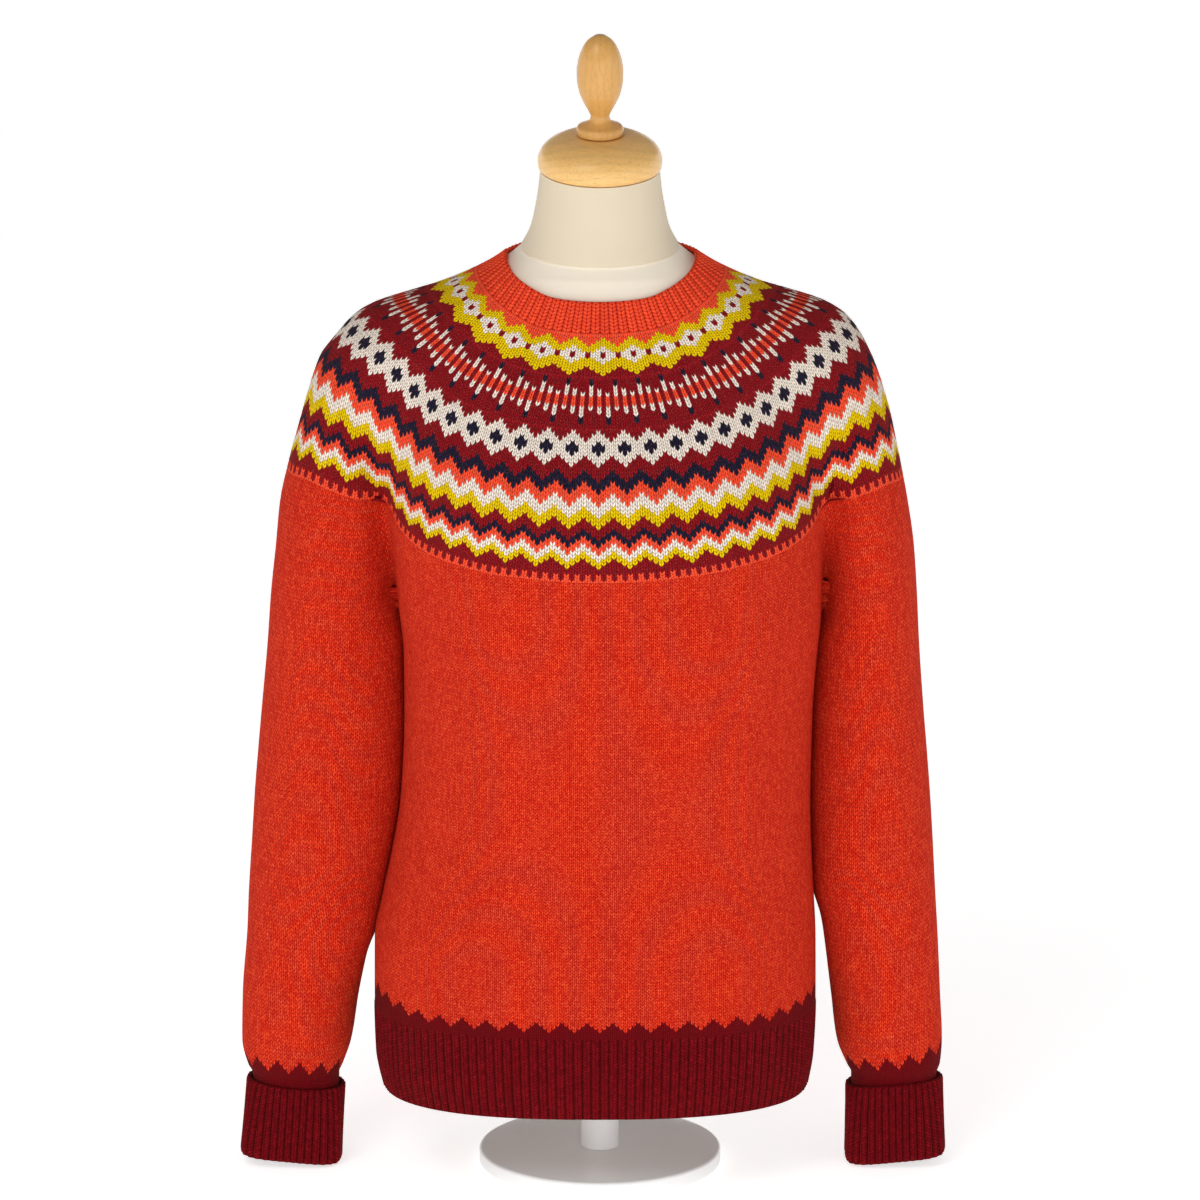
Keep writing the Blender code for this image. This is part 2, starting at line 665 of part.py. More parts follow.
def make_yoke(cut):
    """Round yoke: one closed ring of stranded knit over the chest, back and shoulders."""
    angles = cut.yoke_angles
    part = np.linspace(0.0, 1.0, YOKE_ROWS + 1)
    start = NECK_RIB_DEPTH + SEAM_GAP
    wanted = start + (yoke_length(angles) - SEAM_GAP)[:, None] * part[None, :]
    face = down_the_knit(meridian(angles), wanted).swapaxes(0, 1)
    face[-1] = cut.lower_edge(angles, -SEAM_GAP / 2.0)
    for column, armhole in cut.yoke_corners:
        face[-1, column] = armhole.corner_moved(SEAM_GAP / 2.0)
    inner = face - outward(garment_field, face) * YOKE_WALL
    return add_object("yoke", wall_between(face, inner, True), "yoke_wool")


def make_panel(cut, name, face_sign):
    """Front or back, between the side lines, the armholes and the hem rib."""
    angles = cut.angles["front" if face_sign < 0 else "back"]
    first_side = -1 if face_sign < 0 else 1
    first = cut.armholes[first_side, face_sign]
    last = cut.armholes[-first_side, face_sign]
    top = cut.lower_edge(angles, SEAM_GAP / 2.0)
    turn = 2.0 * math.pi

    def side_angle(armhole, z):
        """Angle of the panel's edge at heights: the armhole, then the side line."""
        seam = [angle_of(point) for point in armhole.points[::-1]]
        near = angles[0] if armhole is first else angles[-1]
        seam = [value + turn * round((near - value) / turn) for value in seam]
        return np.interp(z, armhole.points[::-1, 2], seam)

    def body_below(x, y, z):
        """The body's own face below the underarms, and the joined garment above them."""
        sleeve_starts = first.underarm[2] if np.ndim(x) == 0 else np.where(
            x * first_side > 0.0, first.underarm[2], last.underarm[2])
        return np.where(z < sleeve_starts, body_field(x, y, z), garment_field(x, y, z))

    shares = np.array([
        (angle - side_angle(first, z)) / (side_angle(last, z) - side_angle(first, z))
        for angle, z in zip(angles, top[:, 2])])
    drop = row_heights(first, last, shares, top[:, 2], HEM_TOP + SEAM_GAP / 2.0, PANEL_ROWS, 0.0)
    start = side_angle(first, drop)
    end = side_angle(last, drop)
    grid_angles = start + shares[None, :] * (end - start)
    face = body_point(grid_angles, drop, body_below)
    normals = outward(body_below, face)
    free = ARMHOLE_ROWS + 1
    for column, armhole in ((0, first), (-1, last)):
        edge, edge_normals = armhole.edge(of_sleeve=False)
        face[:free, column] = edge
        normals[:free, column] = edge_normals
        face[free:, column, 1] += face_sign * SEAM_GAP / 2.0
        face[free - 1, column, 1] += face_sign * SEAM_GAP / 2.0
        normals[free - 1:, column, 1] = 0.0
    normals = normals / np.linalg.norm(normals, axis=-1, keepdims=True)
    normals[-1, :, 2] = 0.0
    inner = face - normals * PANEL_WALL
    inner[-1, :, 2] = face[-1, :, 2]
    return add_object(name, wall_between(face, inner, False), "heather_wool")


def row_heights(first, last, shares, top_z, bottom_z, rows_below, crowding):
    """Heights of the rows of each column, with a row of each side at the underarm point."""
    even = np.linspace(0.0, 1.0, rows_below + 1)[1:]
    lower = even - crowding * np.sin(2.0 * math.pi * even) / (2.0 * math.pi)
    columns = []
    for share, z_top, z_bottom in zip(shares, top_z, np.broadcast_to(bottom_z, len(shares))):
        corner_z = first.corner[2] * (1.0 - share) + last.corner[2] * share
        under_z = first.underarm[2] * (1.0 - share) + last.underarm[2] * share
        fractions = (1.0 - first.share) * (corner_z - under_z) / (corner_z - z_bottom)
        fractions = np.concatenate([fractions, fractions[-1] + (1.0 - fractions[-1]) * lower])
        columns.append(z_top + (z_bottom - z_top) * fractions)
    return np.array(columns).T


def make_hem_rib():
    """Ribbing at the hem, one ring below the front and back."""
    columns = 2 * HEM_RIBS

    def middle_line(angles):
        return body_point(angles, np.full(len(angles), (HEM_TOP + HEM_BOTTOM) / 2.0), body_field)

    angles = evenly_spaced(FRONT_ANGLE, FRONT_ANGLE + 2.0 * math.pi, columns, middle_line)[:-1]
    heights = np.array([HEM_TOP - SEAM_GAP / 2.0, HEM_BOTTOM + HEM_DRAW_IN, HEM_BOTTOM])
    face = body_point(angles[None, :], heights[:, None], body_field)
    normals = outward(body_field, face)
    normals[..., 2] = 0.0
    ridge = rib_relief(columns)[None, :, None]
    outer = face + normals * ridge
    inner = (face - normals * (RIB_WALL + RIB_SUNK * RIB_RELIEF))[:, ::2]
    return add_object("hem_rib", ribbed_ring(outer, inner), "wine_wool", RIB_CREASE)


def cuff_plane(side_name, x):
    """Height of a cuff's top edge above a point: the outer side lies higher."""
    side, top_x, _, top_z, _ = CUFFS[side_name]
    return top_z * MM + CUFF_TILT * side * (x - top_x * MM)


def make_sleeve(cut, side_name):
    """Sleeve: open towards the body down to the underarm point, then a whole tube."""
    side = CUFFS[side_name][0]
    front = cut.armholes[side, -1]
    back = cut.armholes[side, 1]
    top = cut.lower_edge(cut.angles[side_name][::side], SEAM_GAP / 2.0)
    turn = 2.0 * math.pi

    def sleeve_below(x, y, z):
        """The sleeve's own face below the underarm, and the joined garment above it."""
        return np.where(z < front.underarm[2], sleeve_field(side, x, y, z), garment_field(x, y, z))

    def way_round(point, least):
        """Angle round the sleeve from the side that faces the body, by way of the front."""
        centre, middle, _, _ = sleeve_centre(side, point[2])
        angle = math.atan2(point[1] - middle, (point[0] - centre) * -side)
        return (-angle - least) % turn + least

    def edge_angle(armhole, least, z):
        """Angle of the armhole's seam at heights, then of the line below the underarm."""
        seam = [way_round(point, least) for point in armhole.points[::-1]]
        return np.interp(z, armhole.points[::-1, 2], seam)

    ways = [way_round(point, LEAST_WAY) for point in top]
    starts = edge_angle(front, -math.pi, top[:, 2])
    ends = edge_angle(back, math.pi, top[:, 2])
    shares = np.clip((ways - starts) / (ends - starts), 0.0, 1.0)
    shares[0] = 0.0
    shares[-1] = 1.0
    lowest = edge_angle(front, -math.pi, 0.0) + shares * turn
    centre, _, half_width, _ = sleeve_centre(side, CUFFS[side_name][3] * MM)
    bottom_x = centre - side * half_width * np.cos(lowest)
    bottom = cuff_plane(side_name, bottom_x) - CUFF_LAP + SEAM_GAP
    drop = row_heights(front, back, shares, top[:, 2], bottom, SLEEVE_ROWS, SLEEVE_CROWDING)
    start = edge_angle(front, -math.pi, drop)
    end = edge_angle(back, math.pi, drop)
    way = start + shares[None, :] * (end - start)
    centre, middle, _, _ = sleeve_centre(side, drop)
    level = np.arctan2(-np.sin(way), -side * np.cos(way))
    face = first_crossing(sleeve_below, centre, middle, level, drop, reach=SLEEVE_REACH)
    normals = outward(sleeve_below, face)
    free = ARMHOLE_ROWS + 1
    for column, armhole in ((0, front), (-1, back)):
        edge, edge_normals = armhole.edge(of_sleeve=True)
        face[:free, column] = edge
        normals[:free, column] = edge_normals
    inner = face - normals * PANEL_WALL
    for grid in (face, inner):
        grid[-1, :, 2] = cuff_plane(side_name, grid[-1, :, 0]) - CUFF_LAP + SEAM_GAP
    name = f"sleeve_{side_name}"
    return add_object(name, tube_with_open_top(face, inner, ARMHOLE_ROWS), "heather_wool")


def make_cuff(side_name):
    """Cuff: ribbing turned back on itself, so a deep slot lies between its two layers."""
    side, top_x, bottom_x, _, half_width = CUFFS[side_name]
    columns = 2 * CUFF_RIBS

    def ring(angles, inset, depth):
        """Points of one ring, inset from the outer face, at a depth under the top edge."""
        width = half_width * MM - inset
        length = CUFF_HALF_DEPTH - inset
        radius = (np.abs(np.cos(angles) / width) ** SLEEVE_SQUARENESS
                  + np.abs(np.sin(angles) / length) ** SLEEVE_SQUARENESS)
        radius = radius ** (-1.0 / SLEEVE_SQUARENESS)
        share = depth / CUFF_HEIGHT
        centre = (top_x * (1.0 - share) + bottom_x * share) * MM
        offset = radius * np.cos(angles)
        height = cuff_plane(side_name, top_x * MM + offset) - depth
        return np.stack([centre + offset, CUFF_MID_Y + radius * np.sin(angles), height], axis=-1)

    angles = evenly_spaced(0.0, 2.0 * math.pi, columns, lambda fine: ring(fine, 0.0, 0.0))[:-1]
    ridge = rib_relief(columns)
    slot = RIB_WALL + RIB_SUNK * RIB_RELIEF
    slot_end = CUFF_HEIGHT - CUFF_FOLD_WALL
    outer_profile = (
        (0.8 * MM, 0.0), (0.0, CUFF_LIP), (0.2 * MM, CUFF_HEIGHT - CUFF_FOLD),
        (1.8 * MM, CUFF_HEIGHT),
    )
    inner_profile = (
        (slot, 0.0), (slot, slot_end), (slot + CUFF_SLOT, slot_end),
        (slot + CUFF_SLOT, CUFF_LAP), (slot + CUFF_SLOT + RIB_WALL, CUFF_LAP),
        (slot + CUFF_SLOT + RIB_WALL, CUFF_HEIGHT),
    )
    outer = np.array([ring(angles, inset - ridge, depth) for inset, depth in outer_profile])
    inner = np.array([ring(angles[::2], inset, depth) for inset, depth in inner_profile])
    return add_object(f"cuff_{side_name}", ribbed_ring(outer, inner), "wine_wool", RIB_CREASE)


# ---- the dress form --------------------------------------------------------------------------
def turned_rings(rings):
    """A closed body through rings of points, with flat ends."""
    body = bmesh.new()
    rows = add_corners(body, rings)
    skin(body, rows, True)
    body.faces.new(rows[0])
    body.faces.new(rows[-1])
    return body


def leaning_ring(angles, half_width, half_depth, distance):
    """An oval round the neck's leaning axis."""
    across = half_width * np.cos(angles)
    along = half_depth * np.sin(angles)
    y = NECK_Y - distance * math.sin(NECK_LEAN) + along * math.cos(NECK_LEAN)
    z = NECK_Z + distance * math.cos(NECK_LEAN) + along * math.sin(NECK_LEAN)
    return np.stack([across, y, z], axis=-1)


def form_field(x, y, z):
    """The padded torso: inside the knit, and cut off where arms would start."""
    lifted = z + FORM_DROP
    knit = np.where(lifted < UNDERARM_LEVEL, body_field(x, y, lifted), garment_field(x, y, lifted))
    padded = knit + FORM_INSET + FORM_EASE.read(z)[0]
    return -blended(-padded, FORM_ARM_CUT - np.abs(x), FORM_ARM_ROUNDING)


def make_form_torso():
    """Torso and neck of the form, in one padded body with a flat underside."""
    angles = FRONT_ANGLE + np.arange(FORM_COLUMNS) * 2.0 * math.pi / FORM_COLUMNS
    heights = np.array(FORM_HEIGHTS) * MM
    torso = body_point(angles[None, :], heights[:, None], form_field)
    sole = torso[0].copy()
    middle = sole.mean(axis=0)
    sole = middle + (sole - middle) * SOLE_SHARE
    sole[:, 2] = TORSO_BOTTOM
    neck = [leaning_ring(angles, half_width * MM, half_depth * MM, distance * MM)
            for distance, half_width, half_depth in FORM_NECK]
    rings = np.concatenate([[sole], torso, neck])
    return add_object("form_torso", turned_rings(rings), "jersey", RIB_CREASE)


def make_turned(name, profile, columns):
    """A turned wooden piece on the neck's leaning axis, from its radius and distance rows."""
    angles = np.arange(columns) * 2.0 * math.pi / columns
    rings = [leaning_ring(angles, radius * MM, radius * MM, distance * MM)
             for radius, distance in profile]
    return add_object(name, turned_rings(np.array(rings)), "beech", TURNED_CREASE)


def make_post():
    """Short round post between the base and the torso."""
    post = bmesh.new()
    height = TORSO_BOTTOM - BASE_THICK - 2.0 * SEAM_GAP
    bmesh.ops.create_cone(post, cap_ends=True, segments=POST_COLUMNS, radius1=POST_RADIUS,
                          radius2=POST_RADIUS, depth=height)
    bmesh.ops.translate(post, verts=post.verts[:], vec=(0.0, 0.0, BASE_THICK + SEAM_GAP + height / 2.0))
    return add_object("form_post", post, "white_lacquer")


def make_base():
    """Flat round base with a softened upper edge."""
    base = bmesh.new()
    bmesh.ops.create_cone(base, cap_ends=True, segments=BASE_COLUMNS, radius1=BASE_RADIUS,
                          radius2=BASE_RADIUS, depth=BASE_THICK)
    bmesh.ops.translate(base, verts=base.verts[:], vec=(0.0, 0.0, BASE_THICK / 2.0))
    rim = [edge for edge in base.edges if all(v.co.z > BASE_THICK * 0.9 for v in edge.verts)]
    bmesh.ops.bevel(base, geom=rim, offset=BASE_ROUNDING, segments=2,
                    profile=0.5, affect="EDGES")
    return add_object("form_base", base, "white_lacquer")


def clear_scene():
    """Remove what the scene starts with."""
    for item in list(bpy.data.objects):
        bpy.data.objects.remove(item, do_unlink=True)


def main():
    """Build every piece of the garment and of its form."""
    clear_scene()
    cut = Cut()
    make_neck_rib()
    make_yoke(cut)
    make_panel(cut, "body_front", -1)
    make_panel(cut, "body_back", 1)
    make_hem_rib()
    for side_name in CUFFS:
        make_sleeve(cut, side_name)
        make_cuff(side_name)
    make_form_torso()
    make_turned("form_cap", CAP_PROFILE, CAP_COLUMNS)
    make_turned("form_finial", FINIAL_PROFILE, FINIAL_COLUMNS)
    make_post()
    make_base()


main()
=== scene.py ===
"""Looks of a Fair Isle jumper on a table-top dress form: knit, jersey, beech and lacquer.

Run as a script.  Each operator builds one piece, or a pair of like pieces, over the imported
model, and one sets the stage.  Units are metres and +Z is up; the front faces -Y.
"""
import functools
import math

import bpy
import numpy as np
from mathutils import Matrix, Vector


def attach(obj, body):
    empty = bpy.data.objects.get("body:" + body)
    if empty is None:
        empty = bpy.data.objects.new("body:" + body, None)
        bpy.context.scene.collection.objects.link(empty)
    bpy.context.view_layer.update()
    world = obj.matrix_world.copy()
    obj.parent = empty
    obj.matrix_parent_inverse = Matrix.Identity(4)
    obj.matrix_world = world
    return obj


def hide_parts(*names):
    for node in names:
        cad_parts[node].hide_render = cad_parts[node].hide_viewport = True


bl_info = {
    "name": "Fair Isle Jumper",
    "version": (1, 0, 0),
    "blender": (4, 5, 0),
    "location": "3D View > Sidebar > Jumper",
    "description": "Knits a Fair Isle jumper and finishes the dress form that wears it",
    "category": "Add Mesh",
}

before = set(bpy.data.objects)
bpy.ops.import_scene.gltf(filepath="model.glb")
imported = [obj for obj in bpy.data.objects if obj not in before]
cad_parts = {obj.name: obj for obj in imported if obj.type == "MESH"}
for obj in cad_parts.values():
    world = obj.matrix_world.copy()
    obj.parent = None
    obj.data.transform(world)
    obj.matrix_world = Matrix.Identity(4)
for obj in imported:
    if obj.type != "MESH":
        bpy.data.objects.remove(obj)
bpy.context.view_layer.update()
MM = 0.001
TURN = 2.0 * math.pi

# ---- sizes, most of them shared with the solids ----------------------------------------------
SEAM_GAP = 0.04 * MM
CORNER_GAP = 0.08 * MM
ARMHOLE_SHARE = 0.55
PANEL_WALL = 2.2 * MM
YOKE_WALL = 2.8 * MM
RIB_WALL = 2.1 * MM
RIB_RELIEF = 1.7 * MM
RIB_SUNK = 0.8
NECK_RIB_DEPTH = 24.5 * MM
NECK_RIBS = 76
HEM_BOTTOM = 68.0 * MM
HEM_TOP = 135.5 * MM
HEM_RIBS = 136
CUFF_RIBS = 40
CUFF_HEIGHT = 61.0 * MM
CUFF_TILT = 0.085
CUFF_LAP = 4.0 * MM
CUFF_SLOT = 0.5 * MM
CUFF_FOLD_WALL = 4.0 * MM
SLEEVE_CROWDING = 0.6
BASE_RADIUS = 96.0 * MM
BASE_THICK = 12.0 * MM
BASE_ROUNDING = 2.5 * MM
BASE_BEVEL = 0.8 * MM
POST_RADIUS = 15.0 * MM
POST_GAP = 0.3 * MM
TORSO_BOTTOM = 150.0 * MM
FORM_DROP = 3.0 * MM
FORM_INSET = 3.9 * MM
FORM_ARM_CUT = 156.0 * MM
FORM_ARM_ROUNDING = 26.0 * MM
SOLE_SHARE = 0.93
UNDERARM_LEVEL = 452.0 * MM
NECK_Y = 4.0 * MM
NECK_Z = 735.0 * MM
NECK_LEAN = math.radians(9.0)
SLEEVE_SQUARENESS = 2.1
SLEEVE_REACH = 160.0 * MM
LEAST_WAY = -0.3

# Body sections: height, left side, right side, front, back (mm), squareness.
BODY_SECTIONS = (
    (65.0, -171.0, 164.0, -108.0, 103.0, 2.50),
    (95.0, -177.0, 168.8, -113.5, 105.5, 2.50),
    (140.0, -178.1, 170.5, -117.0, 107.0, 2.50),
    (190.0, -177.7, 170.1, -118.0, 107.0, 2.50),
    (225.0, -170.9, 168.3, -119.0, 107.0, 2.50),
    (260.0, -163.5, 166.5, -121.0, 106.0, 2.45),
    (300.0, -156.7, 165.2, -124.0, 105.0, 2.40),
    (375.0, -153.1, 166.6, -131.0, 104.0, 2.35),
    (420.0, -153.3, 169.8, -136.0, 106.0, 2.35),
    (455.0, -157.0, 173.0, -139.0, 108.0, 2.35),
    (500.0, -162.0, 174.0, -140.0, 111.0, 2.35),
    (540.0, -166.0, 175.0, -135.0, 113.0, 2.30),
    (580.0, -171.0, 175.0, -123.0, 113.0, 2.25),
    (620.0, -173.0, 174.0, -105.0, 109.0, 2.20),
    (655.0, -169.0, 169.0, -89.0, 101.0, 2.15),
    (680.0, -158.0, 159.0, -77.5, 92.0, 2.10),
    (695.0, -144.0, 145.0, -70.5, 85.0, 2.05),
    (708.0, -121.0, 123.0, -64.5, 78.0, 2.00),
    (718.0, -100.0, 102.0, -60.0, 73.0, 2.00),
    (728.0, -81.0, 83.0, -56.0, 69.0, 2.00),
    (738.0, -68.0, 69.0, -52.0, 65.0, 2.00),
    (750.0, -58.0, 59.0, -48.0, 61.0, 2.00),
)

# Sleeves: height, left outer and inner side, right outer and inner side, middle and half depth.
SLEEVE_SECTIONS = (
    (55.0, -275.8, -207.2, 267.5, 199.5, 4.0, 27.0),
    (72.0, -275.8, -207.2, 267.5, 199.5, 4.0, 27.2),
    (80.0, -279.6, -204.0, 270.0, 195.6, 4.0, 30.5),
    (100.0, -284.0, -197.2, 271.4, 187.8, 5.0, 36.0),
    (138.0, -283.1, -191.0, 269.5, 182.9, 6.0, 42.0),
    (190.0, -278.9, -179.9, 266.8, 176.2, 8.0, 47.0),
    (220.0, -277.5, -173.6, 264.9, 171.3, 10.0, 50.0),
    (265.0, -274.4, -164.6, 262.3, 169.7, 13.0, 53.5),
    (310.0, -271.3, -158.2, 259.3, 168.3, 16.0, 55.5),
    (370.0, -265.6, -155.6, 254.0, 169.3, 18.0, 57.0),
    (423.0, -260.4, -155.6, 250.0, 172.0, 18.0, 57.0),
    (460.0, -257.5, -156.0, 248.0, 172.5, 17.0, 57.0),
    (500.0, -253.0, -153.0, 245.0, 169.0, 15.0, 57.0),
    (537.0, -249.0, -148.0, 239.5, 160.0, 13.0, 57.0),
    (565.0, -242.6, -140.0, 234.0, 148.0, 12.0, 56.0),
    (607.0, -231.0, -130.0, 225.0, 130.0, 11.0, 54.0),
    (634.0, -223.0, -120.0, 217.0, 120.0, 10.0, 52.0),
    (651.0, -216.5, -110.0, 210.5, 110.0, 10.0, 50.0),
    (666.0, -205.0, -95.0, 203.0, 95.0, 10.0, 46.0),
    (678.0, -195.0, -80.0, 195.0, 80.0, 10.0, 42.0),
    (687.0, -184.0, -70.0, 185.0, 70.0, 10.0, 38.0),
    (694.0, -169.0, -60.0, 172.0, 60.0, 10.0, 34.0),
    (700.0, -150.0, -50.0, 154.0, 50.0, 10.0, 30.0),
    (708.0, -122.0, -40.0, 125.0, 40.0, 10.0, 24.0),
    (718.0, -96.0, -30.0, 98.0, 30.0, 10.0, 16.0),
    (730.0, -74.0, -20.0, 76.0, 20.0, 10.0, 10.0),
    (750.0, -50.0, -15.0, 50.0, 15.0, 10.0, 8.0),
)

# Height, width of the rounded fold where body and sleeve run into each other.
FOLD_SOFTNESS = (
    (450.0, 0.0), (480.0, 6.0), (520.0, 14.0), (570.0, 26.0), (620.0, 40.0),
    (660.0, 40.0), (690.0, 24.0), (710.0, 14.0), (750.0, 10.0),
)
# Height, half length of the spine that the sections are measured from.
SPINE = (
    (450.0, 95.0), (570.0, 90.0), (630.0, 75.0), (670.0, 55.0), (710.0, 30.0), (750.0, 15.0),
)
# Neck edge: how far round from the front (0) to the back (1), height.
NECK_EDGE = (
    (0.0, 706.5), (0.03, 709.2), (0.067, 714.5), (0.117, 720.5), (0.18, 726.0), (0.25, 730.0),
    (0.35, 732.8), (0.5, 734.2), (0.75, 735.0), (1.0, 735.5),
)
# Yoke: degrees round from the front, length of the knit from the collar to the lower edge.
YOKE_LENGTHS = (
    (0.0, 189.5), (12.0, 190.0), (24.0, 192.5), (36.0, 198.0), (48.0, 202.5), (57.0, 206.0),
    (64.0, 209.0), (72.0, 218.0), (83.0, 233.5), (92.0, 237.0), (102.0, 231.0), (111.0, 220.0),
    (119.0, 212.0), (128.0, 209.0), (150.0, 207.0), (180.0, 205.0),
)
# Cuffs: side, middle of the top and of the bottom edge, height of the top edge, half width.
CUFFS = {
    "left": (-1, -241.4, -246.0, 66.2, 39.0),
    "right": (1, 233.5, 234.9, 66.2, 38.6),
}
CUFF_MID_Y = 4.0 * MM
CUFF_HALF_DEPTH = 30.6 * MM
FORM_EASE_ROWS = (
    (150.0, 22.0), (300.0, 17.0), (420.0, 8.0), (485.0, 1.5), (540.0, 0.0), (750.0, 0.0),
)
# Neck of the form: distance up its leaning axis, half width and half depth.
FORM_NECK = (
    (0.5, 62.5, 50.5), (7.5, 58.6, 50.5), (18.0, 53.6, 49.6), (33.0, 50.2, 47.8),
    (50.0, 47.4, 46.8), (65.4, 45.9, 45.9),
)
CAP_TOP = 92.4 * MM
CAP_PROFILE = (
    (45.2, 65.6), (47.3, 67.3), (47.9, 73.0), (45.8, 79.8), (40.0, 86.0), (30.0, 90.8), (18.5, 92.6),
)
FINIAL_PROFILE = (
    (15.8, 92.9), (17.9, 94.0), (18.1, 97.4), (17.0, 99.8), (12.4, 101.8), (8.4, 104.6), (7.3, 108.1),
    (8.9, 112.0), (12.6, 119.0), (15.9, 127.0), (17.7, 137.0), (17.9, 144.0), (16.8, 152.5),
    (14.0, 161.0), (9.6, 168.0), (4.2, 172.0),
)

# ---- the knitting chart ----------------------------------------------------------------------
# One letter for each stitch of a six-stitch repeat: orange, red, mustard, cream, navy.
FLOWER_ROWS = (
    "oomooo", "ommmoo", "mmmmmo", "mmcmmm", "mcccmm", "ccrccr", "ccrccr", "mcccmm", "mmcmmm",
    "mmmmmm", "mmmmmr", "rmmmrr", "rrmrrr",
)
DIAMOND_ROWS = (
    "rrcrrr", "rcccrr", "cccccr", "ccnccc", "cnnncc", "cnnncc", "ccnccc", "cccccr", "rcccrr",
    "rrcrrr", "rrrrrr",
)
# Bars, top to bottom: the three bars of a six-stitch repeat, with plain stitches between them.
BAR_ROWS = (
    "nrrrrr", "nrrrrr", "crrrrr", "crcrrr", "crcrcr", "ororor", "ororor", "ororor", "crcrcr",
    "rrcrcr", "rrrrcr", "rrrrnr", "rrrrnr",
)
# Waves: yarn and the row under the diamonds at which it starts in the wave's highest stitch.
WAVES = (
    ("n", 0), ("o", 3), ("c", 6), ("m", 9), ("r", 12), ("n", 15), ("o", 17), ("c", 19), ("m", 21),
    ("r", 23),
)
WAVE_ROWS = 28
WAVE_CLIMB = (1, 2, 3, 2, 1, 0)
# Rows of the lower band, and by how many rows each lies lower than in an even band.
ROW_LAG = (
    (0.0, 0.0), (10.75, 0.0), (17.75, 0.45), (20.75, 0.9), (26.75, 0.9), (33.75, 0.95), (37.75, 0.65),
    (41.0, 0.0),
)
EDGE_ROWS = ("ororor", "ororor")
ORANGE_ROW = "oooooo"
RED_ROW = "rrrrrr"
YOKE_EXTRA = 2.6 * MM
PLAIN_TOP = 0.0122
FLOWERS_END = 0.1675
BARS_START = 0.181
BARS_END = 0.3667
DIAMONDS_START = 0.3935
REPEAT = 6
FLOWER_REPEATS = 28
BAR_REPEATS = 43
WAVE_REPEATS = 51
BODY_REPEATS = 48


# ---- points and lines ------------------------------------------------------------------------
def at(field, points):
    """A field's values at an array of points."""
    return field(*np.moveaxis(points, -1, 0))


def unit(vectors):
    """Vectors made 1 long."""
    return vectors / np.linalg.norm(vectors, axis=-1, keepdims=True)


def run_along(points):
    """Distance along lines of points, from the first point of each line."""
    steps = np.linalg.norm(np.diff(points, axis=-2), axis=-1)
    return np.concatenate([np.zeros((*steps.shape[:-1], 1)), np.cumsum(steps, axis=-1)], axis=-1)


def evenly_spaced(start, end, count, line_at, samples=480):
    """Angles from start to end whose points are equally far apart along a line."""
    fine = np.linspace(start, end, samples + 1)
    run = run_along(line_at(fine))
    return np.interp(np.linspace(0.0, run[-1], count + 1), run, fine)


def rising(value, start, run):
    """0 up to a start, 1 from a run beyond it, and even between them."""
    return np.clip((value - start) / run, 0.0, 1.0)


def halved(low, high, halvings, stays_low):
    """An interval narrowed down to where a test changes its answer."""
    for _ in range(halvings):
        middle = (low + high) / 2.0
        under = stays_low(middle)
        low = np.where(under, middle, low)
        high = np.where(under, high, middle)
    return low, high


# ---- curves through the tables ---------------------------------------------------------------
def smooth_slopes(places, values):
    """Slopes of a curve that never overshoots its rows."""
    steps = np.diff(places)
    rises = np.diff(values) / steps
    slopes = np.concatenate([rises[:1], np.zeros(len(places) - 2), rises[-1:]])
    for row in range(1, len(places) - 1):
        before = rises[row - 1]
        after = rises[row]
        if before * after > 0.0:
            near = 2.0 * steps[row] + steps[row - 1]
            far = steps[row] + 2.0 * steps[row - 1]
            slopes[row] = (near + far) / (near / before + far / after)
    return slopes


class Table:
    """A table of rows, read between its rows as smooth curves of its first column."""

    def __init__(self, rows, place_scale=MM, value_scales=None):
        data = np.array(rows, dtype=float)
        self.places = data[:, 0] * place_scale
        scales = np.full(data.shape[1] - 1, MM) if value_scales is None else np.array(value_scales)
        self.values = data[:, 1:] * scales
        self.slopes = [smooth_slopes(self.places, column) for column in self.values.T]

    def read(self, where):
        """One array for each column, at the places asked for."""
        where = np.asarray(where, dtype=float)
        last = len(self.places) - 2
        row = np.clip(np.searchsorted(self.places, where) - 1, 0, last)
        step = self.places[row + 1] - self.places[row]
        part = np.clip((where - self.places[row]) / step, 0.0, 1.0)
        rest = 1.0 - part
        columns = []
        for value, slope in zip(self.values.T, self.slopes):
            ends = (1.0 + 2.0 * part) * rest ** 2 * value[row]
            ends = ends + part ** 2 * (3.0 - 2.0 * part) * value[row + 1]
            bends = part * rest ** 2 * slope[row] - part ** 2 * rest * slope[row + 1]
            columns.append(ends + bends * step)
        return columns


BODY = Table(BODY_SECTIONS, value_scales=(MM, MM, MM, MM, 1.0))
SLEEVES = Table(SLEEVE_SECTIONS)
FOLD = Table(FOLD_SOFTNESS)
SPINE_LENGTH = Table(SPINE)
NECK_HEIGHT = Table(NECK_EDGE, place_scale=1.0)
FORM_EASE = Table(FORM_EASE_ROWS)
YOKE_LENGTH = Table(YOKE_LENGTHS, place_scale=math.radians(1.0))


# ---- the garment as a field: negative inside it, zero on its outer face ----------------------
def section_distance(across, along, half_width, half_depth, squareness):
    """Distance in its own plane from an oval section, measured from the section's middle."""
    power = np.abs(across / half_width) ** squareness + np.abs(along / half_depth) ** squareness
    scale = np.maximum(power, 1e-9) ** (1.0 / squareness)
    return np.hypot(across, along) * (1.0 - 1.0 / scale)


def body_field(x, y, z):
    """Front and back alone."""
    left, right, front, back, squareness = BODY.read(z)
    half_depth = np.where(y < 0.0, -front, back)
    return section_distance(x - (left + right) / 2.0, y, (right - left) / 2.0, half_depth, squareness)


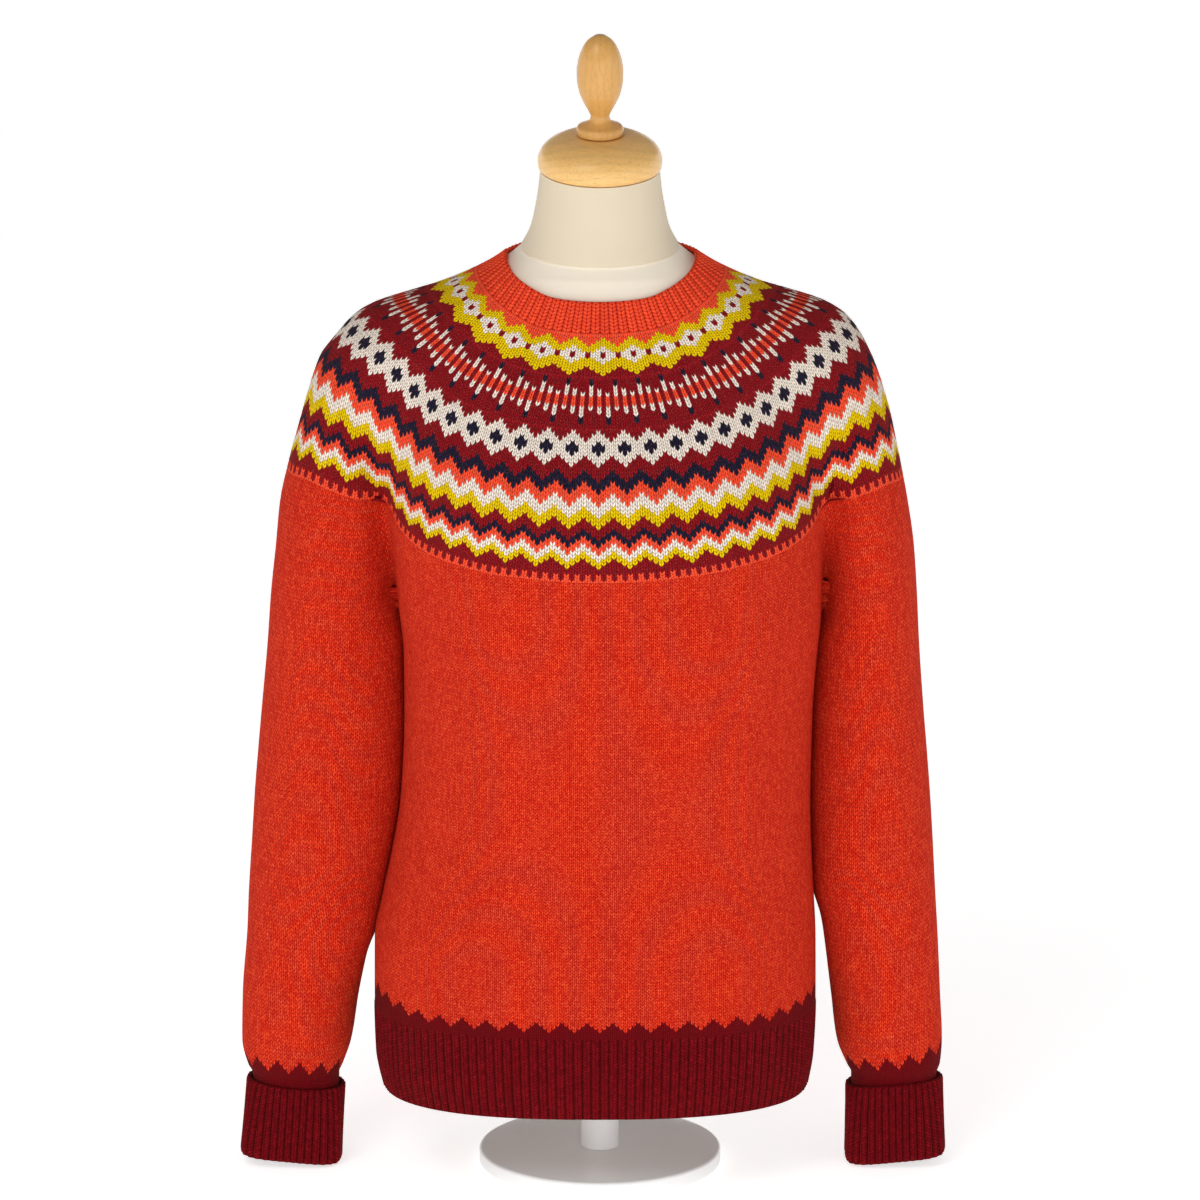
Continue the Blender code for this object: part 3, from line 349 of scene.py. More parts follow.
def sleeve_centre(side, z):
    """Middle and half sizes of one sleeve's section."""
    left_out, left_in, right_out, right_in, middle, half_depth = SLEEVES.read(z)
    outer, inner = (left_out, left_in) if side < 0 else (right_out, right_in)
    return (outer + inner) / 2.0, middle, np.abs(outer - inner) / 2.0, half_depth


def sleeve_field(side, x, y, z):
    """One sleeve alone."""
    centre, middle, half_width, half_depth = sleeve_centre(side, z)
    return section_distance(x - centre, y - middle, half_width, half_depth, SLEEVE_SQUARENESS)


def blended(first, second, softness):
    """The lower of two fields, rounded where they cross."""
    softness = np.maximum(softness, 1e-6)
    overlap = np.maximum(softness - np.abs(first - second), 0.0) / softness
    return np.minimum(first, second) - overlap ** 2 * softness / 4.0


def garment_field(x, y, z):
    """Body and both sleeves run together, as above the underarms."""
    sleeve = np.where(x < 0.0, sleeve_field(-1, x, y, z), sleeve_field(1, x, y, z))
    return blended(body_field(x, y, z), sleeve, FOLD.read(z)[0])


def outward(field, points, reach=0.4 * MM):
    """Unit normals of a field at points on its surface."""
    steps = np.eye(3) * reach
    return unit(np.stack([at(field, points + step) - at(field, points - step) for step in steps], -1))


def first_crossing(field, start_x, start_y, angle, z, reach=300.0 * MM, steps=75, halvings=22):
    """Where a level ray from inside first leaves the field."""
    start_x, start_y, angle, z = np.broadcast_arrays(start_x, start_y, angle, z)
    run_x = np.cos(angle)
    run_y = np.sin(angle)

    def field_at(distance):
        return field(start_x + distance * run_x, start_y + distance * run_y, z)

    near = np.zeros(angle.shape)
    far = np.full(angle.shape, reach)
    found = np.zeros(angle.shape, dtype=bool)
    for step in range(1, steps + 1):
        distance = reach * step / steps
        outside = field_at(distance) > 0.0
        far = np.where(outside & ~found, distance, far)
        near = np.where(outside & ~found, distance - reach / steps, near)
        found |= outside
    near = halved(near, far, halvings, lambda distance: field_at(distance) < 0.0)[0]
    return np.stack([start_x + near * run_x, start_y + near * run_y, z], axis=-1)


# ---- angles round the body, and the knit measured down from the neck edge --------------------
FRONT_ANGLE = -math.pi / 2.0
SPINE_Y = 10.0 * MM
MERIDIAN_SAMPLES = 110
MERIDIAN_CROWDING = 1.35
MERIDIAN_LOW = 470.0 * MM


def body_point(angle, z, field=garment_field):
    """Point of the outer face at an angle round the spine and a height."""
    spine = SPINE_LENGTH.read(z)[0]
    return first_crossing(field, spine * np.cos(angle), SPINE_Y, angle, z)


def angle_of(points):
    """Angle round the spine of points, from -pi (left) over the front to +pi (left, behind)."""
    points = np.asarray(points, dtype=float)
    spine = SPINE_LENGTH.read(points[..., 2])[0]
    angle = np.arctan2(points[..., 1] - SPINE_Y, points[..., 0])
    for _ in range(60):
        angle = np.arctan2(points[..., 1] - SPINE_Y, points[..., 0] - spine * np.cos(angle))
    return angle


def from_front(angle):
    """How far round an angle is from the front, 0 to pi, whichever side it is on."""
    return np.abs((np.asarray(angle) - FRONT_ANGLE + math.pi) % TURN - math.pi)


def neck_edge_height(angle):
    """Height of the neck opening's edge at an angle."""
    return NECK_HEIGHT.read((1.0 - np.cos(from_front(angle))) / 2.0)[0]


def meridian(angle):
    """Points down the outer face at one or more angles, and the length of knit to each."""
    angle = np.atleast_1d(np.asarray(angle, dtype=float))
    top = neck_edge_height(angle)[:, None]
    part = np.linspace(0.0, 1.0, MERIDIAN_SAMPLES)[None, :] ** MERIDIAN_CROWDING
    points = body_point(angle[:, None], top + (MERIDIAN_LOW - top) * part)
    return points, run_along(points)


def down_the_knit(lines, lengths):
    """Points at lengths down the meridians: one row for each meridian, or one for all."""
    points, run = lines
    placed = []
    for line, line_run, wanted in zip(points, run, np.broadcast_to(lengths, (len(run), lengths.shape[-1]))):
        placed.append(np.stack([np.interp(wanted, line_run, line[:, axis]) for axis in range(3)], -1))
    placed = np.array(placed)
    for _ in range(2):
        placed = placed - outward(garment_field, placed) * at(garment_field, placed)[..., None]
    return placed


def yoke_length(angle):
    """Length of the yoke's knit under the collar at an angle."""
    return YOKE_LENGTH.read(from_front(angle))[0] + YOKE_EXTRA


# ---- armholes: where body and sleeve meet ----------------------------------------------------
MEETING_REACH = np.linspace(-120.0, 130.0, 251) * MM
ARMHOLE_ROWS = 16
ARMHOLE_CROWDING = 1.6
UNDERARM_RANGE = (430.0 * MM, 480.0 * MM)
CORNER_RANGE = (500.0 * MM, 600.0 * MM)


def meeting_line(side, z):
    """X as far from the body's face as from the sleeve's, and the garment's field there."""
    y = MEETING_REACH
    start = np.zeros(y.shape)
    x = halved(start, start + float(sleeve_centre(side, z)[0]), 26,
               lambda x: body_field(x, y, z) < sleeve_field(side, x, y, z))[0]
    return x, garment_field(x, y, z)


def underarm_point(side):
    """The point at which body and sleeve first touch, going up."""
    level = halved(*UNDERARM_RANGE, 24, lambda z: meeting_line(side, z)[1].min() >= 0.0)[1]
    x, depth = meeting_line(side, level)
    deepest = int(np.argmin(depth))
    return np.array([x[deepest], MEETING_REACH[deepest], level])


def armhole_point(side, face, z):
    """Point of the armhole seam on the front (face -1) or back (face 1) at a height."""
    x, depth = meeting_line(side, z)
    deepest = int(np.argmin(depth))
    way = slice(deepest, None, 1) if face > 0 else slice(deepest, None, -1)
    outside = int(np.argmax(depth[way] > 0.0))
    span = slice(outside - 1, outside + 1)
    y = np.interp(0.0, depth[way][span], MEETING_REACH[way][span])
    return np.array([np.interp(y, MEETING_REACH, x), y, z])


def yoke_corner(side, face):
    """Where the armhole seam reaches the yoke's lower edge."""
    def under_yoke(z):
        angle = angle_of(armhole_point(side, face, z))
        points, run = meridian(angle)
        reached = np.interp(-z, -points[0, :, 2], run[0])
        return reached > NECK_RIB_DEPTH + float(yoke_length(angle))

    return armhole_point(side, face, halved(*CORNER_RANGE, 18, under_yoke)[1])


class Armhole:
    """One half of an armhole seam, from the yoke down to the underarm point."""

    def __init__(self, side, face):
        self.side = side
        self.corner = yoke_corner(side, face)
        self.underarm = underarm_point(side)
        self.share = (np.arange(ARMHOLE_ROWS, -1, -1) / ARMHOLE_ROWS) ** ARMHOLE_CROWDING
        heights = self.underarm[2] + (self.corner[2] - self.underarm[2]) * self.share
        inner = [armhole_point(side, face, z) for z in heights[1:-1]]
        self.points = np.array([self.corner] + inner + [self.underarm])

    def edge(self, of_sleeve):
        """The seam moved half a gap onto one piece, with that piece's wall direction."""
        body_normals = outward(body_field, self.points)
        sleeve_normals = outward(functools.partial(sleeve_field, self.side), self.points)
        apart = unit(body_normals - sleeve_normals)
        own = sleeve_normals if of_sleeve else body_normals
        share = self.share[:, None]
        normals = unit(own * (1.0 - share) + outward(garment_field, self.points) * share)
        moved = self.points.copy()
        moved[0] -= unit(self.corner - self.points[1]) * CORNER_GAP
        return moved + (apart if of_sleeve else -apart) * SEAM_GAP * ARMHOLE_SHARE, normals


SIDE_INTERVALS = 84
PANEL_INTERVALS = 120
PANEL_ROWS = 84
SLEEVE_ROWS = 96


class Cut:
    """The corners, armholes and columns that the yoke, body and sleeves share."""

    def __init__(self):
        self.armholes = {(side, face): Armhole(side, face) for side in (-1, 1) for face in (-1, 1)}
        front_left = float(angle_of(self.armholes[-1, -1].corner)) % TURN - TURN
        front_right = float(angle_of(self.armholes[1, -1].corner))
        back_right = float(angle_of(self.armholes[1, 1].corner))
        back_left = float(angle_of(self.armholes[-1, 1].corner)) % TURN
        spans = (
            ("front", front_left, front_right, PANEL_INTERVALS),
            ("right", front_right, back_right, SIDE_INTERVALS),
            ("back", back_right, back_left, PANEL_INTERVALS),
            ("left", back_left, front_left + TURN, SIDE_INTERVALS),
        )
        self.angles = {}
        for name, start, end, count in spans:
            self.angles[name] = evenly_spaced(start, end, count, self.lower_edge)

    def lower_edge(self, angles, aside=0.0):
        """Points of the yoke's lower edge, moved down the knit by a distance square to the edge."""
        lengths = NECK_RIB_DEPTH + yoke_length(angles)
        edge = down_the_knit(meridian(angles), lengths[:, None])[:, 0]
        square = unit(np.cross(np.gradient(edge, axis=0), outward(garment_field, edge)))
        return edge - square * np.sign(square[:, 2:]) * aside


@functools.lru_cache(maxsize=1)
def jumper_cut():
    """The shared cut, worked out once."""
    return Cut()


# ---- creases ---------------------------------------------------------------------------------
# Start and end point (mm), width and depth (mm) of each soft trough; a ridge has a minus depth.
BODY_CREASES = (
    ((-150.0, -70.0, 520.0), (-105.0, -128.0, 440.0), 13.0, 2.2),
    ((-146.0, -75.0, 492.0), (-118.0, -118.0, 385.0), 12.0, 1.6),
    ((-134.0, -95.0, 470.0), (-80.0, -132.0, 405.0), 15.0, -1.0),
    ((158.0, -68.0, 518.0), (108.0, -130.0, 450.0), 13.0, 2.0),
    ((156.0, -72.0, 480.0), (128.0, -112.0, 372.0), 12.0, 1.5),
    ((-150.0, 72.0, 515.0), (-104.0, 100.0, 425.0), 14.0, 2.1),
    ((158.0, 70.0, 510.0), (112.0, 98.0, 435.0), 13.0, 2.3),
    ((-60.0, 108.0, 470.0), (-40.0, 104.0, 300.0), 20.0, 1.3),
    ((45.0, 108.0, 450.0), (62.0, 104.0, 270.0), 18.0, 1.1),
    ((-120.0, -110.0, 330.0), (-148.0, -60.0, 215.0), 18.0, 1.4),
    ((128.0, -108.0, 315.0), (150.0, -60.0, 205.0), 17.0, 1.2),
    ((-128.0, 90.0, 320.0), (-150.0, 50.0, 220.0), 17.0, 1.3),
    ((40.0, -122.0, 300.0), (75.0, -115.0, 190.0), 24.0, 0.8),
    ((-35.0, -124.0, 330.0), (-60.0, -117.0, 200.0), 26.0, 0.7),
)
# The folds that run down to the armpits: height, distance from the middle, depth (mm).
ARMPIT_FOLDS = {
    -1: ((440.0, 160.0, 0.0), (470.0, 161.0, 12.5), (502.0, 162.0, 11.0), (530.0, 165.0, 10.5),
         (562.0, 170.0, 9.5), (590.0, 177.0, 7.0), (615.0, 184.0, 4.0), (648.0, 193.0, 0.0)),
    1: ((440.0, 176.0, 0.0), (470.0, 176.0, 12.5), (502.0, 176.0, 10.5), (530.0, 177.5, 9.5),
        (562.0, 181.0, 8.5), (590.0, 185.0, 6.5), (618.0, 191.0, 4.0), (650.0, 199.0, 0.0)),
}
CREASE_OVERRUN = 0.3
CREASE_MIDDLE = 0.45
CREASE_REACH = 0.75
FOLD_OUTER = 12.0 * MM
FOLD_INNER = 6.0 * MM
FOLD_TURN = 25.0 * MM
BACK_FOLD = 0.6
ARMHOLE_MIDDLE = 12.0 * MM
SLEEVE_CREASES = (
    ((-262.0, -30.0, 118.0), (-222.0, -34.0, 105.0), 7.0, 1.5),
    ((-270.0, -20.0, 150.0), (-215.0, -32.0, 132.0), 9.0, 1.1),
    ((-160.0, -20.0, 300.0), (-205.0, -42.0, 330.0), 12.0, 1.8),
    ((-162.0, -12.0, 335.0), (-225.0, -38.0, 382.0), 13.0, 1.3),
    ((-270.0, 25.0, 330.0), (-222.0, 66.0, 300.0), 14.0, 1.6),
    ((-175.0, -30.0, 500.0), (-185.0, -40.0, 420.0), 12.0, 1.8),
    ((-178.0, 55.0, 505.0), (-190.0, 68.0, 415.0), 13.0, 1.9),
    ((-250.0, 40.0, 128.0), (-215.0, 44.0, 112.0), 8.0, 1.3),
    ((252.0, -30.0, 122.0), (212.0, -34.0, 106.0), 7.0, 1.4),
    ((262.0, -18.0, 158.0), (204.0, -34.0, 136.0), 9.0, 1.2),
    ((172.0, -18.0, 290.0), (212.0, -42.0, 322.0), 12.0, 1.7),
    ((172.0, -12.0, 345.0), (226.0, -38.0, 395.0), 13.0, 1.2),
    ((258.0, 25.0, 320.0), (212.0, 68.0, 296.0), 14.0, 1.5),
    ((190.0, -30.0, 500.0), (198.0, -41.0, 425.0), 12.0, 1.7),
    ((192.0, 55.0, 500.0), (200.0, 68.0, 418.0), 13.0, 1.8),
    ((242.0, 42.0, 132.0), (205.0, 44.0, 114.0), 8.0, 1.2),
)


def creased(points, normals, creases, amount):
    """Points pushed in along the troughs of a table, most in the middle of each."""
    push = np.zeros(points.shape[:-1])
    for start, end, width, depth in creases:
        start = np.array(start) * MM
        run = np.array(end) * MM - start
        part = (points - start) @ run / np.linalg.norm(run) ** 2
        part = np.clip(part, -CREASE_OVERRUN, 1.0 + CREASE_OVERRUN)
        away = np.linalg.norm(points - start - part[..., None] * run, axis=-1) / (width * MM)
        fade = np.clip(1.0 - np.abs(part - CREASE_MIDDLE) / CREASE_REACH, 0.0, 1.0)
        push += np.exp(-away ** 2) * fade ** 1.5 * depth * MM
    return points - normals * (push * amount)[..., None]


def folded(points, amount):
    """Points dipped along the armpit folds: steep towards the body, slack towards the sleeve."""
    x, y, z = np.moveaxis(points, -1, 0)
    push = np.zeros(x.shape)
    for side, rows in ARMPIT_FOLDS.items():
        levels, lines, depths = np.array(rows).T * MM
        away = x * side - np.interp(z, levels, lines)
        width = np.where(away > 0.0, FOLD_OUTER, FOLD_INNER)
        push += np.exp(-(away / width) ** 2) * np.interp(z, levels, depths)
    moved = points.copy()
    moved[..., 1] += push * np.clip((ARMHOLE_MIDDLE - y) / FOLD_TURN, -BACK_FOLD, 1.0) * amount
    return moved


# ---- walls of cloth as meshes ----------------------------------------------------------------
LEG_MIDDLE = (0.25, 0.5)


def corners_of(grid):
    """The four corners of each cell of a grid, in turn."""
    return np.stack([grid[:-1, :-1], grid[1:, :-1], grid[1:, 1:], grid[:-1, 1:]], axis=2)


def grid_places(across, up):
    """Places of a grid's corners, from those of its columns and of its rows."""
    return np.stack(np.broadcast_arrays(across[None, :], up[:, None]), axis=-1)


class Wall:
    """A closed wall: its points, its faces, and the place of each corner in stitches."""

    def __init__(self):
        self.points = []
        self.faces = []
        self.places = []
        self.yarns = []
        self.count = 0

    def add_points(self, grid):
        """Numbers of newly added points, in the shape of their grid."""
        size = int(np.prod(grid.shape[:-1]))
        numbers = np.arange(self.count, self.count + size).reshape(grid.shape[:-1])
        self.points.append(grid.reshape(-1, 3))
        self.count += size
        return numbers

    def keep(self, faces, places, yarns):
        """Add faces of four numbers, of which the last is -1 in a triangle."""
        self.faces.append(np.array(faces).reshape(-1, 4))
        self.places.append(np.array(places, dtype=float).reshape(-1, 4, 2))
        self.yarns.append(np.array(yarns).reshape(-1))

    def add_faces(self, numbers, places, yarns=0, closed=False):
        """Quads over a grid of numbers; places has one more column than a closed grid."""
        if closed:
            numbers = np.concatenate([numbers, numbers[:, :1]], axis=1)
        quads = corners_of(numbers)
        self.keep(quads, corners_of(places), np.broadcast_to(yarns, quads.shape[:2]))

    def lace(self, upper, lower, yarn=0):
        """Triangles between two closed lines that have different numbers of points."""
        faces = []
        above = 0
        below = 0
        while above < len(upper) or below < len(lower):
            up = upper[above % len(upper)]
            low = lower[below % len(lower)]
            if (above + 1) / len(upper) <= (below + 1) / len(lower):
                above += 1
                following = upper[above % len(upper)]
            else:
                below += 1
                following = lower[below % len(lower)]
            faces.append((up, low, following, -1))
        self.keep(faces, [[LEG_MIDDLE] * 4] * len(faces), [yarn] * len(faces))

    def mesh(self, name, crease=50.0):
        """The mesh, facing out, with its stitch places as a UV map."""
        points = np.concatenate(self.points)
        faces = np.concatenate(self.faces)
        places = np.concatenate(self.places)
        yarns = np.concatenate(self.yarns)
        used, faces_flat = np.unique(np.where(faces < 0, faces[:, :1], faces), return_inverse=True)
        three = faces[:, 3] < 0
        faces = faces_flat.reshape(faces.shape)
        points = points[used]
        corners = points[faces]
        spread = np.cross(corners[:, 1] - corners[:, 0], corners[:, 2] - corners[:, 0])
        rest = np.cross(corners[:, 2] - corners[:, 0], corners[:, 3] - corners[:, 0])
        rest[three] = 0.0
        volume = np.sum(corners[:, 0] * (spread + rest))
        made = bpy.data.meshes.new(name)
        listed = [face[:3] if short else face for face, short in zip(faces.tolist(), three)]
        spots = [spot[:3] if short else spot for spot, short in zip(places.tolist(), three)]
        if volume < 0.0:
            listed = [face[::-1] for face in listed]
            spots = [spot[::-1] for spot in spots]
        made.from_pydata(points.tolist(), [], listed)
        stitch = made.uv_layers.new(name="stitches")
        stitch.data.foreach_set("uv", [value for spot in spots for corner in spot for value in corner])
        made.shade_smooth()
        made.set_sharp_from_angle(angle=math.radians(crease))
        return made, yarns, listed


def show(name, mesh, material, node):
    """Put a mesh in the scene in place of a node of the model."""
    made = bpy.data.objects.new(name, mesh)
    bpy.context.scene.collection.objects.link(made)
    mesh.materials.append(material)
    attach(made, "root")
    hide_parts(node)
    return made


def panel_wall(outer, inner, places, open_rows=None):
    """A wall between two like grids; with open rows it closes into a tube below them."""
    wall = Wall()
    out = wall.add_points(outer)
    ins = wall.add_points(inner)
    if open_rows is not None:
        out[open_rows:, -1] = out[open_rows:, 0]
        ins[open_rows:, -1] = ins[open_rows:, 0]
    rows = slice(None) if open_rows is None else slice(0, open_rows + 1)
    wall.add_faces(out, places)
    wall.add_faces(ins[::-1], places[::-1])
    wall.add_faces(np.stack([ins[0], out[0]]), np.stack([places[0], places[0]]))
    wall.add_faces(np.stack([out[-1], ins[-1]]), np.stack([places[-1], places[-1]]))
    first = np.stack([places[rows, 0], places[rows, 0]], axis=1)
    last = np.stack([places[rows, -1], places[rows, -1]], axis=1)
    wall.add_faces(np.stack([ins[rows, 0], out[rows, 0]], axis=1), first)
    wall.add_faces(np.stack([out[rows, -1], ins[rows, -1]], axis=1), last)
    return wall


def ring_wall(rings, places):
    """A wall whose rings run all round its own cross-section."""
    wall = Wall()
    numbers = wall.add_points(rings)
    wall.add_faces(np.concatenate([numbers, numbers[:1]]), np.concatenate([places, places[:1]]),
                   closed=True)
    return wall


# ---- node trees ------------------------------------------------------------------------------
class Number:
    """A number that varies over a surface; arithmetic on it adds Math nodes."""

    def __init__(self, finish, socket):
        self.finish = finish
        self.socket = socket

    def with_math(self, operation, *others):
        """This number and others through one Math node."""
        values = dict(enumerate((self, *others)))
        made = self.finish.node("ShaderNodeMath", {"operation": operation}, values)
        return Number(self.finish, made.outputs[0])

    __add__ = functools.partialmethod(with_math, "ADD")
    __radd__ = __add__
    __sub__ = functools.partialmethod(with_math, "SUBTRACT")
    __mul__ = functools.partialmethod(with_math, "MULTIPLY")
    __rmul__ = __mul__
    __pow__ = functools.partialmethod(with_math, "POWER")
    __abs__ = functools.partialmethod(with_math, "ABSOLUTE")

    def __rsub__(self, other):
        return (self * -1.0) + other

    def floor(self):
        """The whole part."""
        return self.with_math("FLOOR")

    def fraction(self):
        """The part after the point."""
        return self.with_math("FRACT")

    def remainder(self, step):
        """What is left over whole steps, never negative."""
        return self.with_math("FLOORED_MODULO", step)

    def above(self, level):
        """1 where it is greater than a level, else 0."""
        return self.with_math("GREATER_THAN", level)

    def least(self, other):
        """The lesser of two."""
        return self.with_math("MINIMUM", other)

    def between(self, low, high):
        """0 at or below low, 1 at or above high, and smooth between them."""
        made = self.finish.node("ShaderNodeMapRange", {"interpolation_type": "SMOOTHSTEP"},
                                {"Value": self, "From Min": low, "From Max": high})
        return Number(self.finish, made.outputs["Result"])


class Finish:
    """One material and its nodes."""

    def __init__(self, name):
        self.material = bpy.data.materials.new(name)
        self.material.use_nodes = True
        self.tree = self.material.node_tree
        self.shader = self.tree.nodes["Principled BSDF"]

    def feed(self, socket, value):
        """Link or set one socket."""
        if isinstance(value, Number):
            value = value.socket
        if isinstance(value, bpy.types.NodeSocket):
            self.tree.links.new(value, socket)
        elif hasattr(value, "__len__") and len(value) == 3 and socket.type == "RGBA":
            socket.default_value = (*value, 1.0)
        else:
            socket.default_value = value

    def node(self, kind, settings=(), values=()):
        """A node of any type: its settings first, then its sockets' values or links."""
        made = self.tree.nodes.new(kind)
        for name, setting in dict(settings).items():
            setattr(made, name, setting)
        for name, value in dict(values).items():
            self.feed(made.inputs[name], value)
        return made

    def set(self, **values):
        """Sockets of the surface shader, by their names in lower case."""
        sockets = {socket.name.lower().replace(" ", "_"): socket for socket in self.shader.inputs}
        for name, value in values.items():
            self.feed(sockets[name], value)

    def mixed(self, amount, first, second, way="MIX"):
        """A colour between two others."""
        settings = {"data_type": "RGBA", "blend_type": way}
        return self.node("ShaderNodeMix", settings, {0: amount, 6: first, 7: second}).outputs[2]

    def dimmed(self, colour, amount):
        """A colour times a number."""
        scaled = self.node("ShaderNodeVectorMath", {"operation": "SCALE"}, {0: colour, "Scale": amount})
        return scaled.outputs["Vector"]

    def axes(self, place):
        """The three parts of a place."""
        parts = self.node("ShaderNodeSeparateXYZ", values={0: place})
        return [Number(self, part) for part in parts.outputs]

    def stitch_place(self):
        """Columns and rows of knit at each point."""
        return self.axes(self.node("ShaderNodeUVMap", {"uv_map": "stitches"}).outputs["UV"])[:2]

    def point(self):
        """Place of each point on the object."""
        return self.node("ShaderNodeTexCoord").outputs["Object"]

    def noise(self, place, scale, detail=2.0, roughness=0.5):
        """Soft noise, 0 to 1."""
        values = {"Vector": place, "Scale": scale, "Detail": detail, "Roughness": roughness}
        made = self.node("ShaderNodeTexNoise", {"noise_dimensions": "3D"}, values)
        return Number(self, made.outputs["Fac"])

    def speck(self, *parts):
        """A random number for each whole place."""
        place = self.node("ShaderNodeCombineXYZ", values=dict(enumerate(parts))).outputs[0]
        made = self.node("ShaderNodeTexWhiteNoise", {"noise_dimensions": "3D"}, {"Vector": place})
        return Number(self, made.outputs["Value"])

    def bump(self, height, distance):
        """Normals of a raised surface."""
        values = {"Height": height, "Distance": distance, "Strength": 1.0}
        self.set(normal=self.node("ShaderNodeBump", values=values).outputs["Normal"])


def linear(red, green, blue):
    """A screen colour of 0 to 255 as a linear one."""
    made = []
    for value in (red, green, blue):
        share = value / 255.0
        made.append(share / 12.92 if share <= 0.04045 else ((share + 0.055) / 1.055) ** 2.4)
    return tuple(made)


# ---- knitted wool ----------------------------------------------------------------------------
FIBRE_SCALE = 1300.0
CLOUD_SCALE = 48.0
# Painted shade: colours that darken the gaps between the legs of each stitch. LIT_LEG is a painted
# highlight that lightens the raised legs.
RED_GAP_SHADE = (0.55, 0.06, 0.10)
PLAIN_GAP_SHADE = (0.42, 0.34, 0.32)
LIT_LEG = (1.12, 1.12, 1.12)
KNIT_SLANT = 0.7


class Stitches:
    """Plain knit on a material: the legs of each stitch, its rows, and the yarn's fibres."""

    def __init__(self, finish, slant):
        across, up = finish.stitch_place()
        self.column = across.floor()
        self.off_middle = abs(across.fraction() * 2.0 - 1.0)
        run = up + (1.0 - self.off_middle) * slant
        self.row = run.floor()
        leg_across = (across * 2.0).fraction() * 2.0 - 1.0
        leg_along = run.fraction() * 2.0 - 1.0
        self.round = 1.0 - leg_across * leg_across
        self.length = 1.0 - leg_along * leg_along
        self.chance = finish.speck((across * 2.0).floor(), self.row)
        place = finish.point()
        self.fibres = finish.noise(place, FIBRE_SCALE, 2.0, 0.6)
        self.cloud = finish.noise(place, CLOUD_SCALE, 3.0, 0.55)


def wool(name, colour_of, slant, lift=0.55 * MM, gap=RED_GAP_SHADE, fleck=0.08, furrow_shade=0.0):
    """Knitted wool: legs of yarn with painted shade in the gaps between them and a painted highlight on the
    legs, flecks of other fibres and a fine fuzz.
    """
    finish = Finish(name)
    stitches = Stitches(finish, slant)
    fibres = stitches.fibres
    height = (stitches.round ** 0.5) * ((stitches.length ** 0.7) * 0.75 + 0.25)
    vary = (stitches.chance - 0.5) * fleck + (fibres - 0.5) * 0.5 + (stitches.cloud - 0.5) * 0.1 + 1.0
    vary = vary + (finish.speck(stitches.column, 0.5) - 0.5) * 0.06
    # Painted shade: darker towards the sides of each column, in the furrows between rib ridges.
    if furrow_shade:
        vary = vary * (1.0 - stitches.off_middle ** 2.0 * furrow_shade)
    # Painted shade in the gaps between the legs and a painted highlight on the legs, set by the height of
    # each leg.
    shade = finish.mixed(height.between(0.15, 0.85), gap, LIT_LEG)
    colour = finish.mixed(1.0, colour_of(finish, stitches), shade, "MULTIPLY")
    finish.set(base_color=finish.dimmed(colour, vary), roughness=0.95, sheen_weight=0.04,
               sheen_roughness=0.5, sheen_tint=(1.0, 0.4, 0.25, 1.0), specular_ior_level=0.06)
    finish.bump(height + fibres * 0.25, lift)
    return finish.material


def heathered(finish, stitches, middle, light, deep):
    """A yarn spun of three shades."""
    spun = stitches.fibres * 0.85 + stitches.chance * 0.11 + stitches.cloud * 0.04
    pale = spun.between(0.46, 0.66)
    strong = (1.0 - spun).between(0.5, 0.68)
    return finish.mixed(strong * 0.5, finish.mixed(pale * 0.85, middle, light), deep)


# ---- settings --------------------------------------------------------------------------------
def colour_setting(name, description, screen):
    """A colour that a user may change."""
    return bpy.props.FloatVectorProperty(name=name, description=description, subtype="COLOR",
                                         size=3, min=0.0, max=1.0, default=linear(*screen))


def power_setting(name, description, watts):
    """The power of a light."""
    return bpy.props.FloatProperty(name=name, description=description, default=watts, min=0.0,
                                   unit="POWER")


class JumperYarns(bpy.types.PropertyGroup):
    """Colours of the yarns and depth of the stitches."""

    orange: colour_setting("Orange", "Middle shade of the heathered main yarn", (212, 42, 24))
    orange_light: colour_setting("Orange fleck", "Light fibres of the main yarn", (238, 92, 50))
    orange_deep: colour_setting("Orange depth", "Dark fibres of the main yarn", (176, 14, 14))
    coral: colour_setting("Coral", "Yoke motifs and the edge under the collar", (250, 80, 50))
    red: colour_setting("Dark red", "Ground of the yoke", (138, 18, 28))
    wine: colour_setting("Wine", "Ribs of the hem and cuffs", (108, 8, 18))
    mustard: colour_setting("Mustard", "Yoke motifs", (234, 200, 3))
    cream: colour_setting("Cream", "Yoke motifs", (244, 232, 218))
    navy: colour_setting("Navy", "Yoke motifs", (28, 28, 50))
    stitch_lift: bpy.props.FloatProperty(name="Stitch height", description="Height of a stitch",
                                         default=0.55 * MM, min=0.0, max=2.0 * MM, unit="LENGTH")
    crease_scale: bpy.props.FloatProperty(name="Creases", description="Depth of all creases",
                                          default=1.0, min=0.0, max=2.0, subtype="FACTOR")


class JumperForm(bpy.types.PropertyGroup):
    """Colours of the dress form."""

    jersey: colour_setting("Jersey", "Cover of the neck", (226, 212, 186))
    # Painted light: the cover below the neck seam is painted lighter than the neck, for light falling on
    # the upward-facing torso.
    jersey_torso: colour_setting("Torso jersey", "Cover below the neck seam", (250, 238, 219))
    beech: colour_setting("Beech", "Turned cap and finial", (222, 169, 92))
    lacquer: colour_setting("Lacquer", "Post and base", (250, 250, 249))


